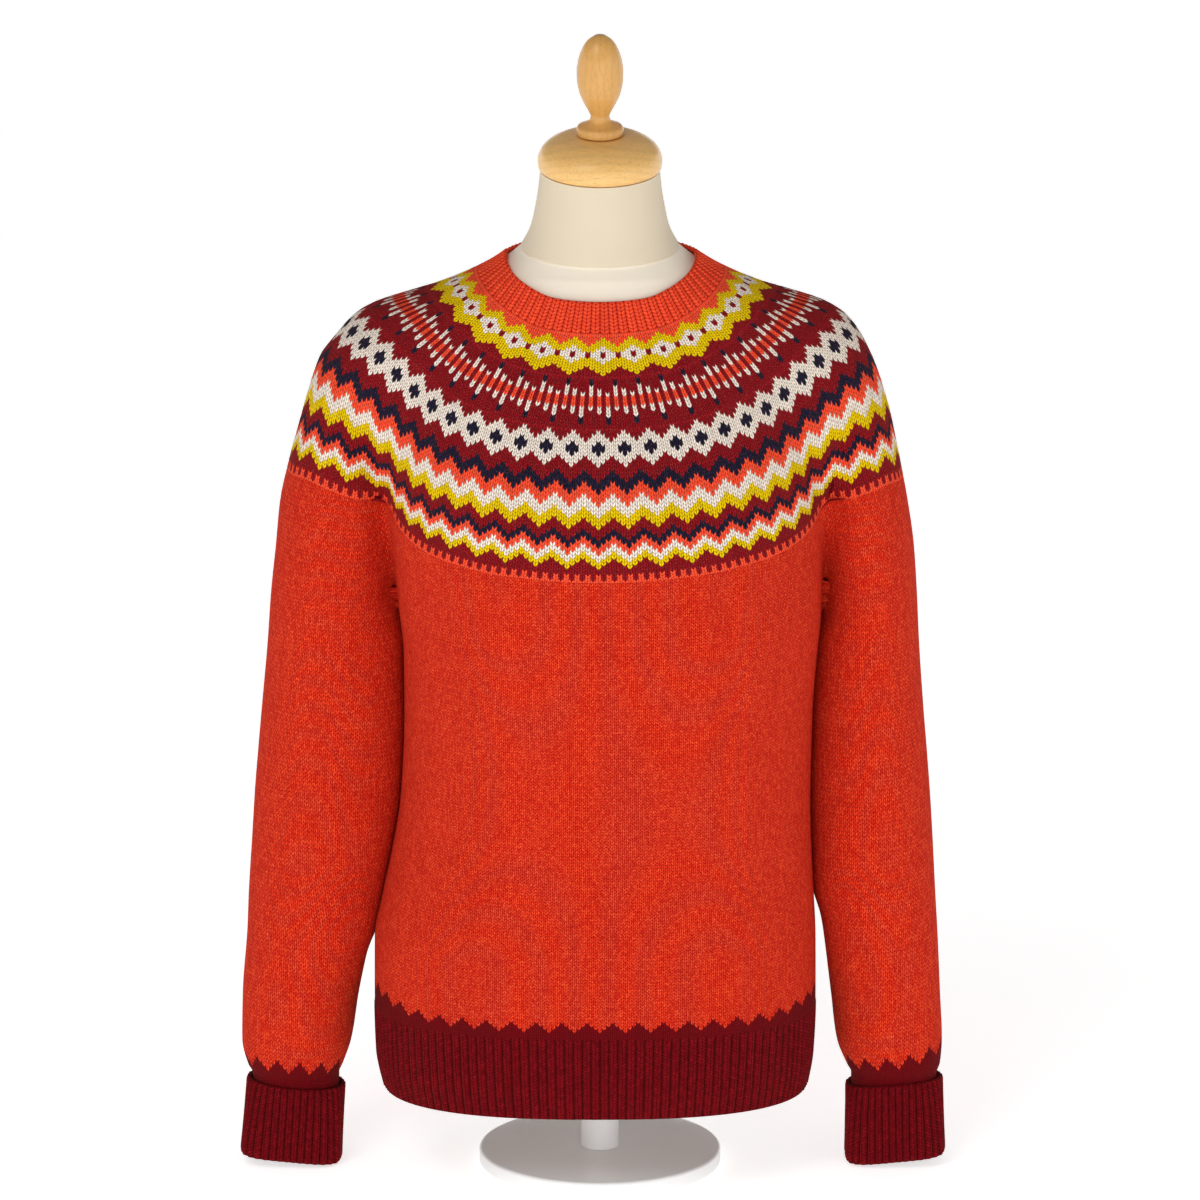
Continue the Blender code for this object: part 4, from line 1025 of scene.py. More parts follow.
class JumperStage(bpy.types.PropertyGroup):
    """Camera and lights."""

    distance: bpy.props.FloatProperty(name="Distance", description="From camera to jumper",
                                      default=5.0, min=1.0, max=20.0, unit="LENGTH")
    elevation: bpy.props.FloatProperty(name="Elevation", description="Camera above the level",
                                       default=math.radians(13.5), subtype="ANGLE")
    lens: bpy.props.FloatProperty(name="Lens", description="Focal length in millimetres",
                                  default=192.3, min=20.0, max=400.0)
    key_power: power_setting("Key light", "Power of the large front light", 31.0)
    fill_power: power_setting("Fill light", "Power of the side light", 6.0)
    floor_power: power_setting("Low light", "Power of the low front light", 3.0)
    surround: bpy.props.FloatProperty(name="Surround", description="Brightness of the white room",
                                      default=0.28, min=0.0, max=3.0)


# ---- ribbing ---------------------------------------------------------------------------------
RIB_COLUMNS = 8
RIB_ROW = 2.6 * MM
RIB_DEEP_WALL = RIB_WALL + RIB_SUNK * RIB_RELIEF
RIB_CREASE = 80.0
RIB_LIFT = 0.4 * MM
HEM_COLUMNS = 6
HEM_ROUNDING = 0.8 * MM
HEM_FLATTENED = 3.0 * MM
COLLAR_ROW = 2.9 * MM
COLLAR_ROUNDING = 0.9 * MM
COLLAR_RELIEF = 0.6
# Strength of the painted shade in the collar's furrows.
COLLAR_FURROW_SHADE = 0.25
WINE_SHADE = linear(80, 4, 12)


def rib_profile(ribs, columns=RIB_COLUMNS):
    """How far each column of a ribbed face stands out, and its place in ribs."""
    place = np.arange(ribs * columns) / columns
    crest = 0.5 - 0.5 * np.cos(TURN * place)
    rib = np.floor(place)
    crest = crest * (1.0 - 0.12 * np.sin(rib * 2.4) - 0.1 * np.sin(rib * 0.73))
    return (crest - RIB_SUNK) * RIB_RELIEF, np.arange(ribs * columns + 1) / columns


def rib_angles(count, line_at):
    """Angles all round from the centre front, equally far apart along a line."""
    return evenly_spaced(FRONT_ANGLE, FRONT_ANGLE + TURN, count, line_at, count)[:-1]


def along_rings(rings):
    """Mean distance from the first ring to each."""
    return run_along(rings.swapaxes(0, 1)).mean(axis=0)


def rib_mesh(name, rings, across, row_height=RIB_ROW):
    """A ribbed wall with its stitches: ribs across, rows counted up by the way along it."""
    places = grid_places(across, -along_rings(rings) / row_height)
    return ring_wall(rings, places).mesh(name, RIB_CREASE)[0]


def rib_wool(name, middle, light, deep, furrow_shade=0.5):
    """Ribbing: one column of stitches on each ridge and painted shade in the furrows between the ridges."""
    def colour(finish, stitches):
        return heathered(finish, stitches, middle, light, deep)

    return wool(name, colour, KNIT_SLANT, lift=RIB_LIFT, furrow_shade=furrow_shade)


class JUMPER_OT_neck_rib(bpy.types.Operator):
    """Knit the collar"""

    bl_idname = "jumper.neck_rib"
    bl_label = "Collar"

    def execute(self, context):
        yarns = context.scene.jumper_yarns
        ridge, across = rib_profile(NECK_RIBS)
        half_way = np.array([NECK_RIB_DEPTH / 2.0])
        angles = rib_angles(len(ridge), lambda fine: down_the_knit(meridian(fine), half_way)[:, 0])
        drops = np.linspace(0.0, NECK_RIB_DEPTH - SEAM_GAP, 15)
        face = down_the_knit(meridian(angles), drops).swapaxes(0, 1)
        normals = outward(garment_field, face)
        down = unit(np.gradient(face, axis=0))
        outer = face + normals * ridge[None, :, None] * COLLAR_RELIEF
        inner = face - normals * RIB_DEEP_WALL
        turn_in = []
        for part in (0.85, 0.6, 0.3):
            rise = math.sin(math.pi * part) * COLLAR_ROUNDING
            turn_in.append(face[0] - normals[0] * RIB_DEEP_WALL * part - down[0] * rise)
        rings = np.concatenate([outer, inner[::-3], turn_in])
        mesh = rib_mesh("collar", rings, across, COLLAR_ROW)
        finish = rib_wool("collar_rib", yarns.coral, yarns.orange_light, yarns.orange, COLLAR_FURROW_SHADE)
        collar = show("collar_knit", mesh, finish, "neck_rib")
        return {"FINISHED"}


# ---- the yoke --------------------------------------------------------------------------------
YOKE_SLANT = 0.75
YARN_LETTERS = "ormcn"
YARN_NAMES = ("coral", "red", "mustard", "cream", "navy")
GROUND = YARN_LETTERS.index("r")
CENTRE_STITCH = 2
YOKE_SEED = 7
YOKE_LIFT = 0.6 * MM
YOKE_FLECK = 0.16
LINING_ROWS = 13
FLOWERS_GAP = 0.002
BARS_GAP = 0.001
YOKE_MERIDIANS = 720
YOKE_CREASE = 60.0


def wave_chart():
    """Rows of the lower band: diamonds, waves and the dashed edge."""
    rows = list(DIAMOND_ROWS)
    for row in range(WAVE_ROWS):
        letters = ""
        for level in WAVE_CLIMB:
            yarn = "r"
            for letter, start in WAVES:
                if row >= start + level:
                    yarn = letter
            letters += yarn
        rows.append(letters)
    return [*rows, *EDGE_ROWS, ORANGE_ROW]


@functools.lru_cache(maxsize=1)
def yoke_meridians():
    """Angles all round from the centre front, and the meridians at them."""
    angles = FRONT_ANGLE + np.arange(YOKE_MERIDIANS) * TURN / YOKE_MERIDIANS
    return angles, meridian(angles)


def yoke_lines(shares):
    """Closed lines round the yoke at shares of its length."""
    angles, lines = yoke_meridians()
    wanted = NECK_RIB_DEPTH + yoke_length(angles)[:, None] * shares[None, :]
    return down_the_knit(lines, wanted).swapaxes(0, 1)


def along_line(line, parts, shift):
    """Points at parts of a closed line, all shifted along it by a distance."""
    whole = np.concatenate([line, line[:1]])
    run = run_along(whole)
    wanted = (parts * run[-1] + shift) % run[-1]
    return np.stack([np.interp(wanted, run, whole[:, axis]) for axis in range(3)], axis=-1)


class Zone:
    """Rounds of the yoke with one number of stitches; each leg of a stitch is a face."""

    def __init__(self, rows, repeats, edges, shift, uneven):
        chart = np.array([[YARN_LETTERS.index(letter) for letter in row] for row in rows])
        picked = (np.arange(repeats * REPEAT) + CENTRE_STITCH) % REPEAT
        self.yarns = np.repeat(chart[:, picked], 2, axis=1)
        self.legs = repeats * REPEAT * 2
        self.edges = edges
        self.shift = shift
        self.uneven = uneven

    def face(self):
        """Points between the legs: every second one lies lower, but not on the outer edges."""
        steps = np.diff(self.edges)
        lowered = self.edges + np.append(steps, steps[-1]) * YOKE_SLANT
        lowered[-1] = self.edges[-1]
        if self.edges[0] == 0.0:
            lowered[0] = 0.0
        face = np.empty((len(self.edges), self.legs, 3))
        for offset, shares in enumerate((self.edges, lowered)):
            parts = (np.arange(offset, self.legs, 2) - 1.0) / self.legs
            for row, line in enumerate(yoke_lines(shares)):
                face[row, offset::2] = along_line(line, parts, self.shift)
        return face


def yoke_zones():
    """Flowers, bars, and diamonds with waves, from the collar down."""
    length = float(YOKE_LENGTH.read(0.0)[0])
    scale = length / (length + YOKE_EXTRA)
    flowers = np.linspace(PLAIN_TOP, FLOWERS_END, len(FLOWER_ROWS) + 1)
    bars = np.linspace(BARS_START, BARS_END, len(BAR_ROWS) + 1)
    waves = wave_chart()
    rounds = np.arange(len(waves))
    lag = np.array(ROW_LAG)
    lagging = rounds + np.interp(rounds, lag[:, 0], lag[:, 1])
    lower = DIAMONDS_START + lagging * (1.0 - DIAMONDS_START) / rounds[-1]
    flowers = np.array([0.0, *flowers, BARS_START - FLOWERS_GAP]) * scale
    bars = np.array([*bars, (BARS_END + DIAMONDS_START) / 2.0, DIAMONDS_START - BARS_GAP]) * scale
    return (
        Zone((ORANGE_ROW, *FLOWER_ROWS, RED_ROW), FLOWER_REPEATS, flowers, 2.3 * MM, 0.08 * MM),
        Zone((*BAR_ROWS, RED_ROW, RED_ROW), BAR_REPEATS, bars, -0.5 * MM, 0.1 * MM),
        Zone(waves, WAVE_REPEATS, np.append(lower * scale, 1.0), -1.2 * MM, 0.1 * MM),
    )


def yoke_yarn(finish, stitches):
    """The charted yarn of each stitch, with a few light fibres."""
    own = finish.node("ShaderNodeAttribute", {"attribute_name": "yarn"}).outputs["Color"]
    return finish.mixed(stitches.fibres.between(0.55, 0.8) * 0.14, own, (1.0, 0.55, 0.35))


class JUMPER_OT_yoke(bpy.types.Operator):
    """Knit the patterned yoke, one face for each leg of a stitch"""

    bl_idname = "jumper.yoke"
    bl_label = "Yoke"

    def execute(self, context):
        yarns = context.scene.jumper_yarns
        wall = Wall()
        chance = np.random.default_rng(YOKE_SEED)
        edges = []
        for zone in yoke_zones():
            face = zone.face()
            uneven = chance.normal(0.0, zone.uneven, face.shape)
            uneven[[0, -1]] = 0.0
            numbers = wall.add_points(folded(face + uneven, yarns.crease_scale))
            places = grid_places(np.arange(zone.legs + 1) / 2.0, -np.arange(len(face), dtype=float))
            wall.add_faces(numbers, places, zone.yarns, closed=True)
            if edges:
                wall.lace(edges[-1], numbers[0], GROUND)
            edges += [numbers[0], numbers[-1]]
        lines = yoke_lines(np.linspace(0.0, 1.0, LINING_ROWS))[:, ::5]
        inner = folded(lines - outward(garment_field, lines) * YOKE_WALL, yarns.crease_scale)
        inside = wall.add_points(inner)
        plain = np.zeros((len(inside), inside.shape[1] + 1, 2))
        wall.add_faces(inside[::-1], plain, GROUND, closed=True)
        wall.lace(inside[0], edges[0])
        wall.lace(edges[-1], inside[-1], GROUND)
        mesh, yarn_numbers, faces = wall.mesh("yoke", YOKE_CREASE)
        table = np.array([(*getattr(yarns, name), 1.0) for name in YARN_NAMES])
        colours = np.repeat(table[yarn_numbers], [len(face) for face in faces], axis=0)
        layer = mesh.color_attributes.new("yarn", "FLOAT_COLOR", "CORNER")
        layer.data.foreach_set("color", colours.ravel().astype(np.float32))
        finish = wool("yoke_wool", yoke_yarn, 0.0, lift=YOKE_LIFT, gap=PLAIN_GAP_SHADE, fleck=YOKE_FLECK)
        yoke = show("yoke_knit", mesh, finish, "yoke")
        return {"FINISHED"}


# ---- front and back --------------------------------------------------------------------------
BODY_ROW = 2.5 * MM
BODY_STITCHES = BODY_REPEATS * REPEAT
SIDE_RISE_START = 125.0 * MM
SIDE_RISE_RUN = 50.0 * MM
SIDE_RISE_ROWS = 3.6
ZIGZAG_ROW = 3.0
ZIGZAG_LIFT = 0.1
SEAM_FADE = 25.0 * MM
HEM_FADE = 20.0 * MM
RUN_HEIGHTS = np.linspace(60.0, 640.0, 117) * MM


def row_heights(first, last, shares, top_z, bottom_z, rows_below, crowding):
    """Heights of the rows of each column, with a row of each side at the underarm point."""
    even = np.linspace(0.0, 1.0, rows_below + 1)[1:]
    lower = even - crowding * np.sin(TURN * even) / TURN
    columns = []
    for share, z_top, z_bottom in zip(shares, top_z, np.broadcast_to(bottom_z, len(shares))):
        corner_z = first.corner[2] * (1.0 - share) + last.corner[2] * share
        under_z = first.underarm[2] * (1.0 - share) + last.underarm[2] * share
        fractions = (1.0 - first.share) * (corner_z - under_z) / (corner_z - z_bottom)
        fractions = np.concatenate([fractions, fractions[-1] + (1.0 - fractions[-1]) * lower])
        columns.append(z_top + (z_bottom - z_top) * fractions)
    return np.array(columns).T


@functools.lru_cache(maxsize=3)
def section_runs(kind):
    """Angles of the body or one sleeve, and the way round from their middle at each height."""
    heights = RUN_HEIGHTS[:, None]
    if kind == "body":
        angles = np.linspace(FRONT_ANGLE - math.pi, FRONT_ANGLE + math.pi, 721)
        line = body_point(angles[None, :], heights, body_field)
    else:
        side = CUFFS[kind][0]
        angles = np.linspace(0.0, TURN, 361)
        centre, middle, _, _ = sleeve_centre(side, heights)
        level = np.arctan2(-np.sin(angles), -side * np.cos(angles))
        line = first_crossing(functools.partial(sleeve_field, side), centre, middle, level, heights,
                              SLEEVE_REACH)
    run = run_along(line)
    return angles, run - run[:, len(angles) // 2][:, None], run[:, -1]


def girth(kind, z):
    """The whole way round the body or one sleeve at a height."""
    return np.interp(z, RUN_HEIGHTS, section_runs(kind)[2])


def way_across(kind, angle, z):
    """Distance round the body or one sleeve from its middle line."""
    angles, runs, _ = section_runs(kind)
    levels = len(RUN_HEIGHTS)
    level = np.clip((z - RUN_HEIGHTS[0]) / (RUN_HEIGHTS[1] - RUN_HEIGHTS[0]), 0.0, levels - 1.001)
    turned = np.clip((angle - angles[0]) / (angles[1] - angles[0]), 0.0, len(angles) - 1.001)
    row = level.astype(int)
    column = turned.astype(int)
    low = level - row
    near = turned - column
    upper = runs[row, column] * (1.0 - near) + runs[row, column + 1] * near
    lower = runs[row + 1, column] * (1.0 - near) + runs[row + 1, column + 1] * near
    return upper * (1.0 - low) + lower * low


def way_round_body(face_sign, angle, z):
    """Distance round the body from the middle line of the front (-1) or of the back (1)."""
    if face_sign < 0:
        return way_across("body", angle, z)
    turned = (angle - FRONT_ANGLE) % TURN
    way = way_across("body", turned + FRONT_ANGLE - TURN * (turned > math.pi), z)
    whole = girth("body", z)
    return np.where(way < 0.0, way + whole, way) - whole / 2.0


def body_wool(name, yarns, first_row):
    """Heathered stocking stitch that runs into a dark red zigzag above the ribbing."""
    def colour(finish, stitches):
        main = heathered(finish, stitches, yarns.orange, yarns.orange_light, yarns.orange_deep)
        edge = finish.mixed(stitches.fibres.between(0.5, 0.8) * 0.3, yarns.wine, yarns.red)
        turn = stitches.column.remainder(float(REPEAT))
        zigzag = turn.least(float(REPEAT) - turn)
        upper = stitches.row.above(zigzag + (first_row - 0.5))
        return finish.mixed(upper, edge, main)

    return wool(name, colour, KNIT_SLANT, lift=yarns.stitch_lift)


def body_panel(face_sign, yarns):
    """Outer and inner faces and stitch places of the front (-1) or the back (1)."""
    cut = jumper_cut()
    angles = cut.angles["front" if face_sign < 0 else "back"]
    first = cut.armholes[face_sign, face_sign]
    last = cut.armholes[-face_sign, face_sign]
    top = cut.lower_edge(angles, SEAM_GAP / 2.0)

    def side_angle(armhole, near):
        seam = angle_of(armhole.points[::-1])
        seam = seam + TURN * np.round((near - seam) / TURN)
        return lambda z: np.interp(z, armhole.points[::-1, 2], seam)

    def body_below(x, y, z):
        starts = np.where(x * face_sign > 0.0, first.underarm[2], last.underarm[2])
        return np.where(z < starts, body_field(x, y, z), garment_field(x, y, z))

    start_of = side_angle(first, angles[0])
    end_of = side_angle(last, angles[-1])
    shares = (angles - start_of(top[:, 2])) / (end_of(top[:, 2]) - start_of(top[:, 2]))
    drop = row_heights(first, last, shares, top[:, 2], HEM_TOP + SEAM_GAP, PANEL_ROWS, 0.0)
    start = start_of(drop)
    grid_angles = start + shares[None, :] * (end_of(drop) - start)
    face = body_point(grid_angles, drop, body_below)
    normals = outward(body_below, face)
    for column, armhole in ((0, first), (-1, last)):
        put_edge(face, normals, column, armhole.edge(of_sleeve=False))
        face[ARMHOLE_ROWS:, column, 1] += face_sign * SEAM_GAP / 2.0
        normals[ARMHOLE_ROWS:, column, 1] = 0.0
    normals = unit(normals)
    normals[-1, :, 2] = 0.0
    aside = rising(np.abs(face[..., 0]), SIDE_RISE_START, SIDE_RISE_RUN)
    up = (drop - HEM_TOP) / BODY_ROW + ZIGZAG_LIFT - aside ** 2 * SIDE_RISE_ROWS
    stitch = girth("body", np.minimum(drop, UNDERARM_LEVEL)) / BODY_STITCHES
    places = np.stack([way_round_body(face_sign, grid_angles, drop) / stitch + 0.5, up], axis=-1)
    fade = rising(top[:, 2] - drop, 0.0, SEAM_FADE) * rising(drop, HEM_TOP, HEM_FADE)
    face = folded(creased(face, normals, BODY_CREASES, fade * yarns.crease_scale), yarns.crease_scale)
    inner = face - normals * PANEL_WALL
    inner[-1, :, 2] = face[-1, :, 2]
    return face, inner, places


def put_edge(face, normals, column, edge):
    """Lay one column of a panel along its armhole."""
    points, wall_ways = edge
    face[:len(points), column] = points
    normals[:len(points), column] = wall_ways


class JUMPER_OT_body(bpy.types.Operator):
    """Knit the front and the back"""

    bl_idname = "jumper.body"
    bl_label = "Front and back"

    def execute(self, context):
        yarns = context.scene.jumper_yarns
        finish = body_wool("heather_knit", yarns, ZIGZAG_ROW)
        for name, node, face_sign in (("front_knit", "body_front", -1), ("back_knit", "body_back", 1)):
            outer, inner, places = body_panel(face_sign, yarns)
            mesh = panel_wall(outer, inner, places).mesh(name)[0]
            panel = show(name, mesh, finish, node)
        return {"FINISHED"}


class JUMPER_OT_hem_rib(bpy.types.Operator):
    """Knit the hem ribbing"""

    bl_idname = "jumper.hem_rib"
    bl_label = "Hem rib"

    def execute(self, context):
        yarns = context.scene.jumper_yarns
        ridge, across = rib_profile(HEM_RIBS, HEM_COLUMNS)
        level = (HEM_TOP + HEM_BOTTOM) / 2.0
        angles = rib_angles(len(ridge), lambda fine: body_point(fine, level, body_field))
        heights = np.linspace(HEM_TOP - SEAM_GAP, HEM_BOTTOM + HEM_ROUNDING, 25)
        face = body_point(angles[None, :], heights[:, None], body_field)
        normals = outward(body_field, face)
        normals[..., 2] = 0.0
        fade = np.clip((heights[0] - heights) / HEM_FLATTENED, 0.25, 1.0)[:, None, None]
        outer = face + normals * ridge[None, :, None] * fade
        under = []
        for part, share in ((0.25, 1.0), (0.6, 1.0), (0.85, 0.5)):
            drop = (0.0, 0.0, HEM_ROUNDING * share)
            under.append(face[-1] - normals[-1] * RIB_DEEP_WALL * part - drop)
        rings = np.concatenate([outer, under, (face - normals * RIB_DEEP_WALL)[::-6]])
        mesh = rib_mesh("hem", rings, across)
        finish = rib_wool("hem_rib_wool", yarns.wine, yarns.red, WINE_SHADE)
        hem = show("hem_rib_knit", mesh, finish, "hem_rib")
        return {"FINISHED"}


# ---- sleeves and cuffs -----------------------------------------------------------------------
SLEEVE_ROW = 3.3 * MM
SLEEVE_STITCH = 3.25 * MM
SLEEVE_RISE_ROWS = {-1: 0.6, 1: 1.8}
OUTER_RISE_ROWS = {-1: 0.0, 1: 2.0}
SLEEVE_ZIGZAG_ROW = 5.0
GATHER_TOP = 80.0 * MM
GATHER_FADE = 170.0 * MM
CUFF_FADE = 12.0 * MM
LEAN_START = {-1: 168.0 * MM, 1: 200.0 * MM}
LEAN_RUN = 35.0 * MM
LEAN_END = UNDERARM_LEVEL - 2.0 * MM
LEAN_FADE = 25.0 * MM
LEAN = 5.0 * MM
LEAN_GAP = 0.3 * MM
CUFF_STITCHES = 78
CUFF_FLARE = 1.2 * MM
CUFF_SQUARING = 1.8
CUFF_RIM_LIFT = {-1: 0.0, 1: 3.0 * MM}
CUFF_LOWER_TILT = 0.012
# Outer face of a cuff at its rim and its fold: inset and depth (mm), share of the ribs' relief.
CUFF_RIM = ((1.5, 0.0, 0.6), (0.9, 0.0, 0.8), (0.3, 0.5, 0.95), (0.0, 1.4, 1.0))
CUFF_FOLD = ((0.2, 59.0, 1.0), (0.7, 60.3, 0.8), (1.5, 61.0, 0.5), (2.6, 61.0, 0.3))


def cuff_plane(side_name, x):
    """Height of a cuff's top edge above a point: the outer side lies higher."""
    side, top_x, _, top_z, _ = CUFFS[side_name]
    return top_z * MM + CUFF_TILT * side * (x - top_x * MM)


def sleeve_faces(side_name, yarns):
    """Outer and inner faces and stitch places of one sleeve."""
    cut = jumper_cut()
    side, _, _, cuff_top, _ = CUFFS[side_name]
    front = cut.armholes[side, -1]
    back = cut.armholes[side, 1]
    top = cut.lower_edge(cut.angles[side_name][::side], SEAM_GAP / 2.0)

    def sleeve_below(x, y, z):
        return np.where(z < front.underarm[2], sleeve_field(side, x, y, z), garment_field(x, y, z))

    def way_round(points, least):
        centre, middle, _, _ = sleeve_centre(side, points[:, 2])
        angle = np.arctan2(points[:, 1] - middle, (points[:, 0] - centre) * -side)
        return (-angle - least) % TURN + least

    def edge_angle(armhole, least):
        seam = way_round(armhole.points[::-1], least)
        return lambda z: np.interp(z, armhole.points[::-1, 2], seam)

    start_of = edge_angle(front, -math.pi)
    end_of = edge_angle(back, math.pi)
    ways = way_round(top, LEAST_WAY)
    shares = np.clip((ways - start_of(top[:, 2])) / (end_of(top[:, 2]) - start_of(top[:, 2])), 0.0, 1.0)
    shares[0] = 0.0
    shares[-1] = 1.0
    lowest = start_of(0.0) + shares * TURN
    centre, _, half_width, _ = sleeve_centre(side, cuff_top * MM)
    bottom = cuff_plane(side_name, centre - side * half_width * np.cos(lowest)) - CUFF_LAP + SEAM_GAP
    drop = row_heights(front, back, shares, top[:, 2], bottom, SLEEVE_ROWS, SLEEVE_CROWDING)
    start = start_of(drop)
    way = start + shares[None, :] * (end_of(drop) - start)
    centre, middle, _, _ = sleeve_centre(side, drop)
    level = np.arctan2(-np.sin(way), -side * np.cos(way))
    face = first_crossing(sleeve_below, centre, middle, level, drop, SLEEVE_REACH)
    normals = outward(sleeve_below, face)
    put_edge(face, normals, 0, front.edge(of_sleeve=True))
    put_edge(face, normals, -1, back.edge(of_sleeve=True))
    part = rising(drop, GATHER_TOP, GATHER_FADE)
    stitch = girth(side_name, drop) / CUFF_STITCHES * (1.0 - part) + SLEEVE_STITCH * part
    rise = (drop - bottom) / SLEEVE_ROW - SLEEVE_RISE_ROWS[side]
    rise = rise - np.clip(-np.cos(way), 0.0, 1.0) ** 2 * OUTER_RISE_ROWS[side]
    places = np.stack([way_across(side_name, way, drop) / stitch + 0.5, rise], axis=-1)
    fade = rising(top[:, 2] - drop, 0.0, SEAM_FADE) * rising(drop, bottom, CUFF_FADE)
    face = folded(creased(face, normals, SLEEVE_CREASES, fade * yarns.crease_scale), yarns.crease_scale)
    face = leaned(side, face, way)
    inner = face - normals * PANEL_WALL
    for grid in (face, inner):
        grid[-1, :, 2] = cuff_plane(side_name, grid[-1, :, 0]) - CUFF_LAP + SEAM_GAP
    return face, inner, places


def leaned(side, face, way):
    """The sleeve's inner side laid against the body."""
    level = face[..., 2]
    part = rising(level, LEAN_START[side], LEAN_RUN) * rising(LEAN_END - level, 0.0, LEAN_FADE)
    weight = np.clip(np.cos(way), 0.0, 1.0) * part * part * (3.0 - 2.0 * part)
    moved = face.copy()
    moved[..., 0] -= side * LEAN * weight
    push = np.clip(LEAN_GAP - at(body_field, moved), 0.0, None) * (weight > 0.0)
    return moved + outward(body_field, moved) * push[..., None]


class JUMPER_OT_sleeves(bpy.types.Operator):
    """Knit both sleeves"""

    bl_idname = "jumper.sleeves"
    bl_label = "Sleeves"

    def execute(self, context):
        yarns = context.scene.jumper_yarns
        finish = body_wool("sleeve_knit_wool", yarns, SLEEVE_ZIGZAG_ROW)
        for side_name in CUFFS:
            node = f"sleeve_{side_name}"
            outer, inner, places = sleeve_faces(side_name, yarns)
            mesh = panel_wall(outer, inner, places, ARMHOLE_ROWS).mesh(node)[0]
            sleeve = show(f"{node}_knit", mesh, finish, node)
        return {"FINISHED"}


def cuff_ring(side_name, angles, inset, depth):
    """One ring of a cuff, at an inset from its outer face and a depth under its rim."""
    side, top_x, bottom_x, _, half_width = CUFFS[side_name]
    share = depth / CUFF_HEIGHT
    width = half_width * MM - inset + CUFF_FLARE * share ** 2
    length = CUFF_HALF_DEPTH - inset
    squareness = SLEEVE_SQUARENESS + CUFF_SQUARING * share
    power = np.abs(np.cos(angles) / width) ** squareness + np.abs(np.sin(angles) / length) ** squareness
    radius = power ** (-1.0 / squareness)
    centre = (top_x * (1.0 - share) + bottom_x * share) * MM
    offset = radius * np.cos(angles)
    front = np.clip(-np.sin(angles), 0.0, 1.0)
    lifted = CUFF_RIM_LIFT[side] * (1.0 - share) * front + CUFF_LOWER_TILT * share * side * offset
    height = cuff_plane(side_name, top_x * MM + offset) - depth + lifted
    return np.stack([centre + offset, CUFF_MID_Y + radius * np.sin(angles), height], -1)


class JUMPER_OT_cuffs(bpy.types.Operator):
    """Knit both turned-back cuffs"""

    bl_idname = "jumper.cuffs"
    bl_label = "Cuffs"

    def execute(self, context):
        yarns = context.scene.jumper_yarns
        finish = rib_wool("cuff_rib_wool", yarns.wine, yarns.red, WINE_SHADE)
        for side_name in CUFFS:
            self.cuff(side_name, finish)
        return {"FINISHED"}

    def cuff(self, side_name, finish):
        """One cuff: the ribbing goes down, folds, and comes up again inside."""
        ring = functools.partial(cuff_ring, side_name)
        ridge, across = rib_profile(CUFF_RIBS)
        angles = evenly_spaced(0.0, TURN, len(ridge), lambda fine: ring(fine, 0.0, 0.0))[:-1]
        slot = RIB_DEEP_WALL / MM
        gap = slot + CUFF_SLOT / MM
        layer = gap + RIB_WALL / MM
        fold = (CUFF_HEIGHT - CUFF_FOLD_WALL) / MM
        outside = [*CUFF_RIM, *((0.0, depth, 1.0) for depth in np.linspace(3.0, 57.0, 22)), *CUFF_FOLD]
        inside = ((layer - 0.8, 61.0), (layer, 60.2), (layer, 40.0), (layer, 20.0), (layer, 4.6),
                  (layer - 0.6, 4.0), (gap, 4.0), (gap, fold), (slot, fold), (slot, 30.0), (slot, 0.6),
                  (2.2, 0.1))
        rings = [ring(angles, inset * MM - ridge * part, depth * MM) for inset, depth, part in outside]
        rings += [ring(angles, inset * MM, depth * MM) for inset, depth in inside]
        node = f"cuff_{side_name}"
        mesh = rib_mesh(node, np.array(rings), across)
        cuff = show(f"{node}_knit", mesh, finish, node)


# ---- the dress form --------------------------------------------------------------------------
FORM_COLUMNS = 144
WOOD_COLUMNS = 112
STAND_COLUMNS = 128
TORSO_HEIGHTS = np.concatenate([np.linspace(153.0, 640.0, 60), np.linspace(646.0, 722.0, 24)]) * MM
NECK_DISTANCES = np.array([0.5, 1.2, 1.8, 2.3, 2.8, 3.4, 4.2, 5.5, 7.5, 10.0, 14.0, 19.0, 25.0, 32.0,
                           40.0, 48.0, 56.0, 61.0, 65.2]) * MM
NECK_SEAM = 2.3 * MM
NECK_SEAM_WIDTH = 0.6 * MM
NECK_SEAM_DEPTH = 0.7 * MM
END_SHARE = 0.02
JERSEY_RIBS = 1400.0
JERSEY_TWIST = 60.0
JERSEY_LOOPS = 1100.0
RING_COUNT = 190.0
# Painted highlight: the pale tone that the cap is mixed towards.
CAP_PAINTED_HIGHLIGHT = linear(255, 208, 130)
WARM_GRAIN = linear(218, 160, 86)
# Heights up the neck between which the cap's painted highlight fades from its fullest near the rim.
CAP_HIGHLIGHT_FULL = 68.0 * MM
CAP_HIGHLIGHT_FADED = 88.0 * MM


def leaning_ring(angles, half_width, half_depth, distance):
    """An oval round the neck's leaning axis."""
    across = half_width * np.cos(angles)
    along = half_depth * np.sin(angles)
    y = NECK_Y - distance * math.sin(NECK_LEAN) + along * math.cos(NECK_LEAN)
    z = NECK_Z + distance * math.cos(NECK_LEAN) + along * math.sin(NECK_LEAN)
    return np.stack(np.broadcast_arrays(across, y, z), axis=-1)


def up_the_neck(y, z):
    """Distance up the neck's leaning axis."""
    return (z - NECK_Z) * math.cos(NECK_LEAN) - (y - NECK_Y) * math.sin(NECK_LEAN)


def upright_rings(profile, columns):
    """Rings round the upright axis, from the radius and height of each."""
    angles = np.arange(columns) * TURN / columns
    return np.array([np.stack(np.broadcast_arrays(radius * np.cos(angles), radius * np.sin(angles),
                                                  height), -1) for radius, height in profile])


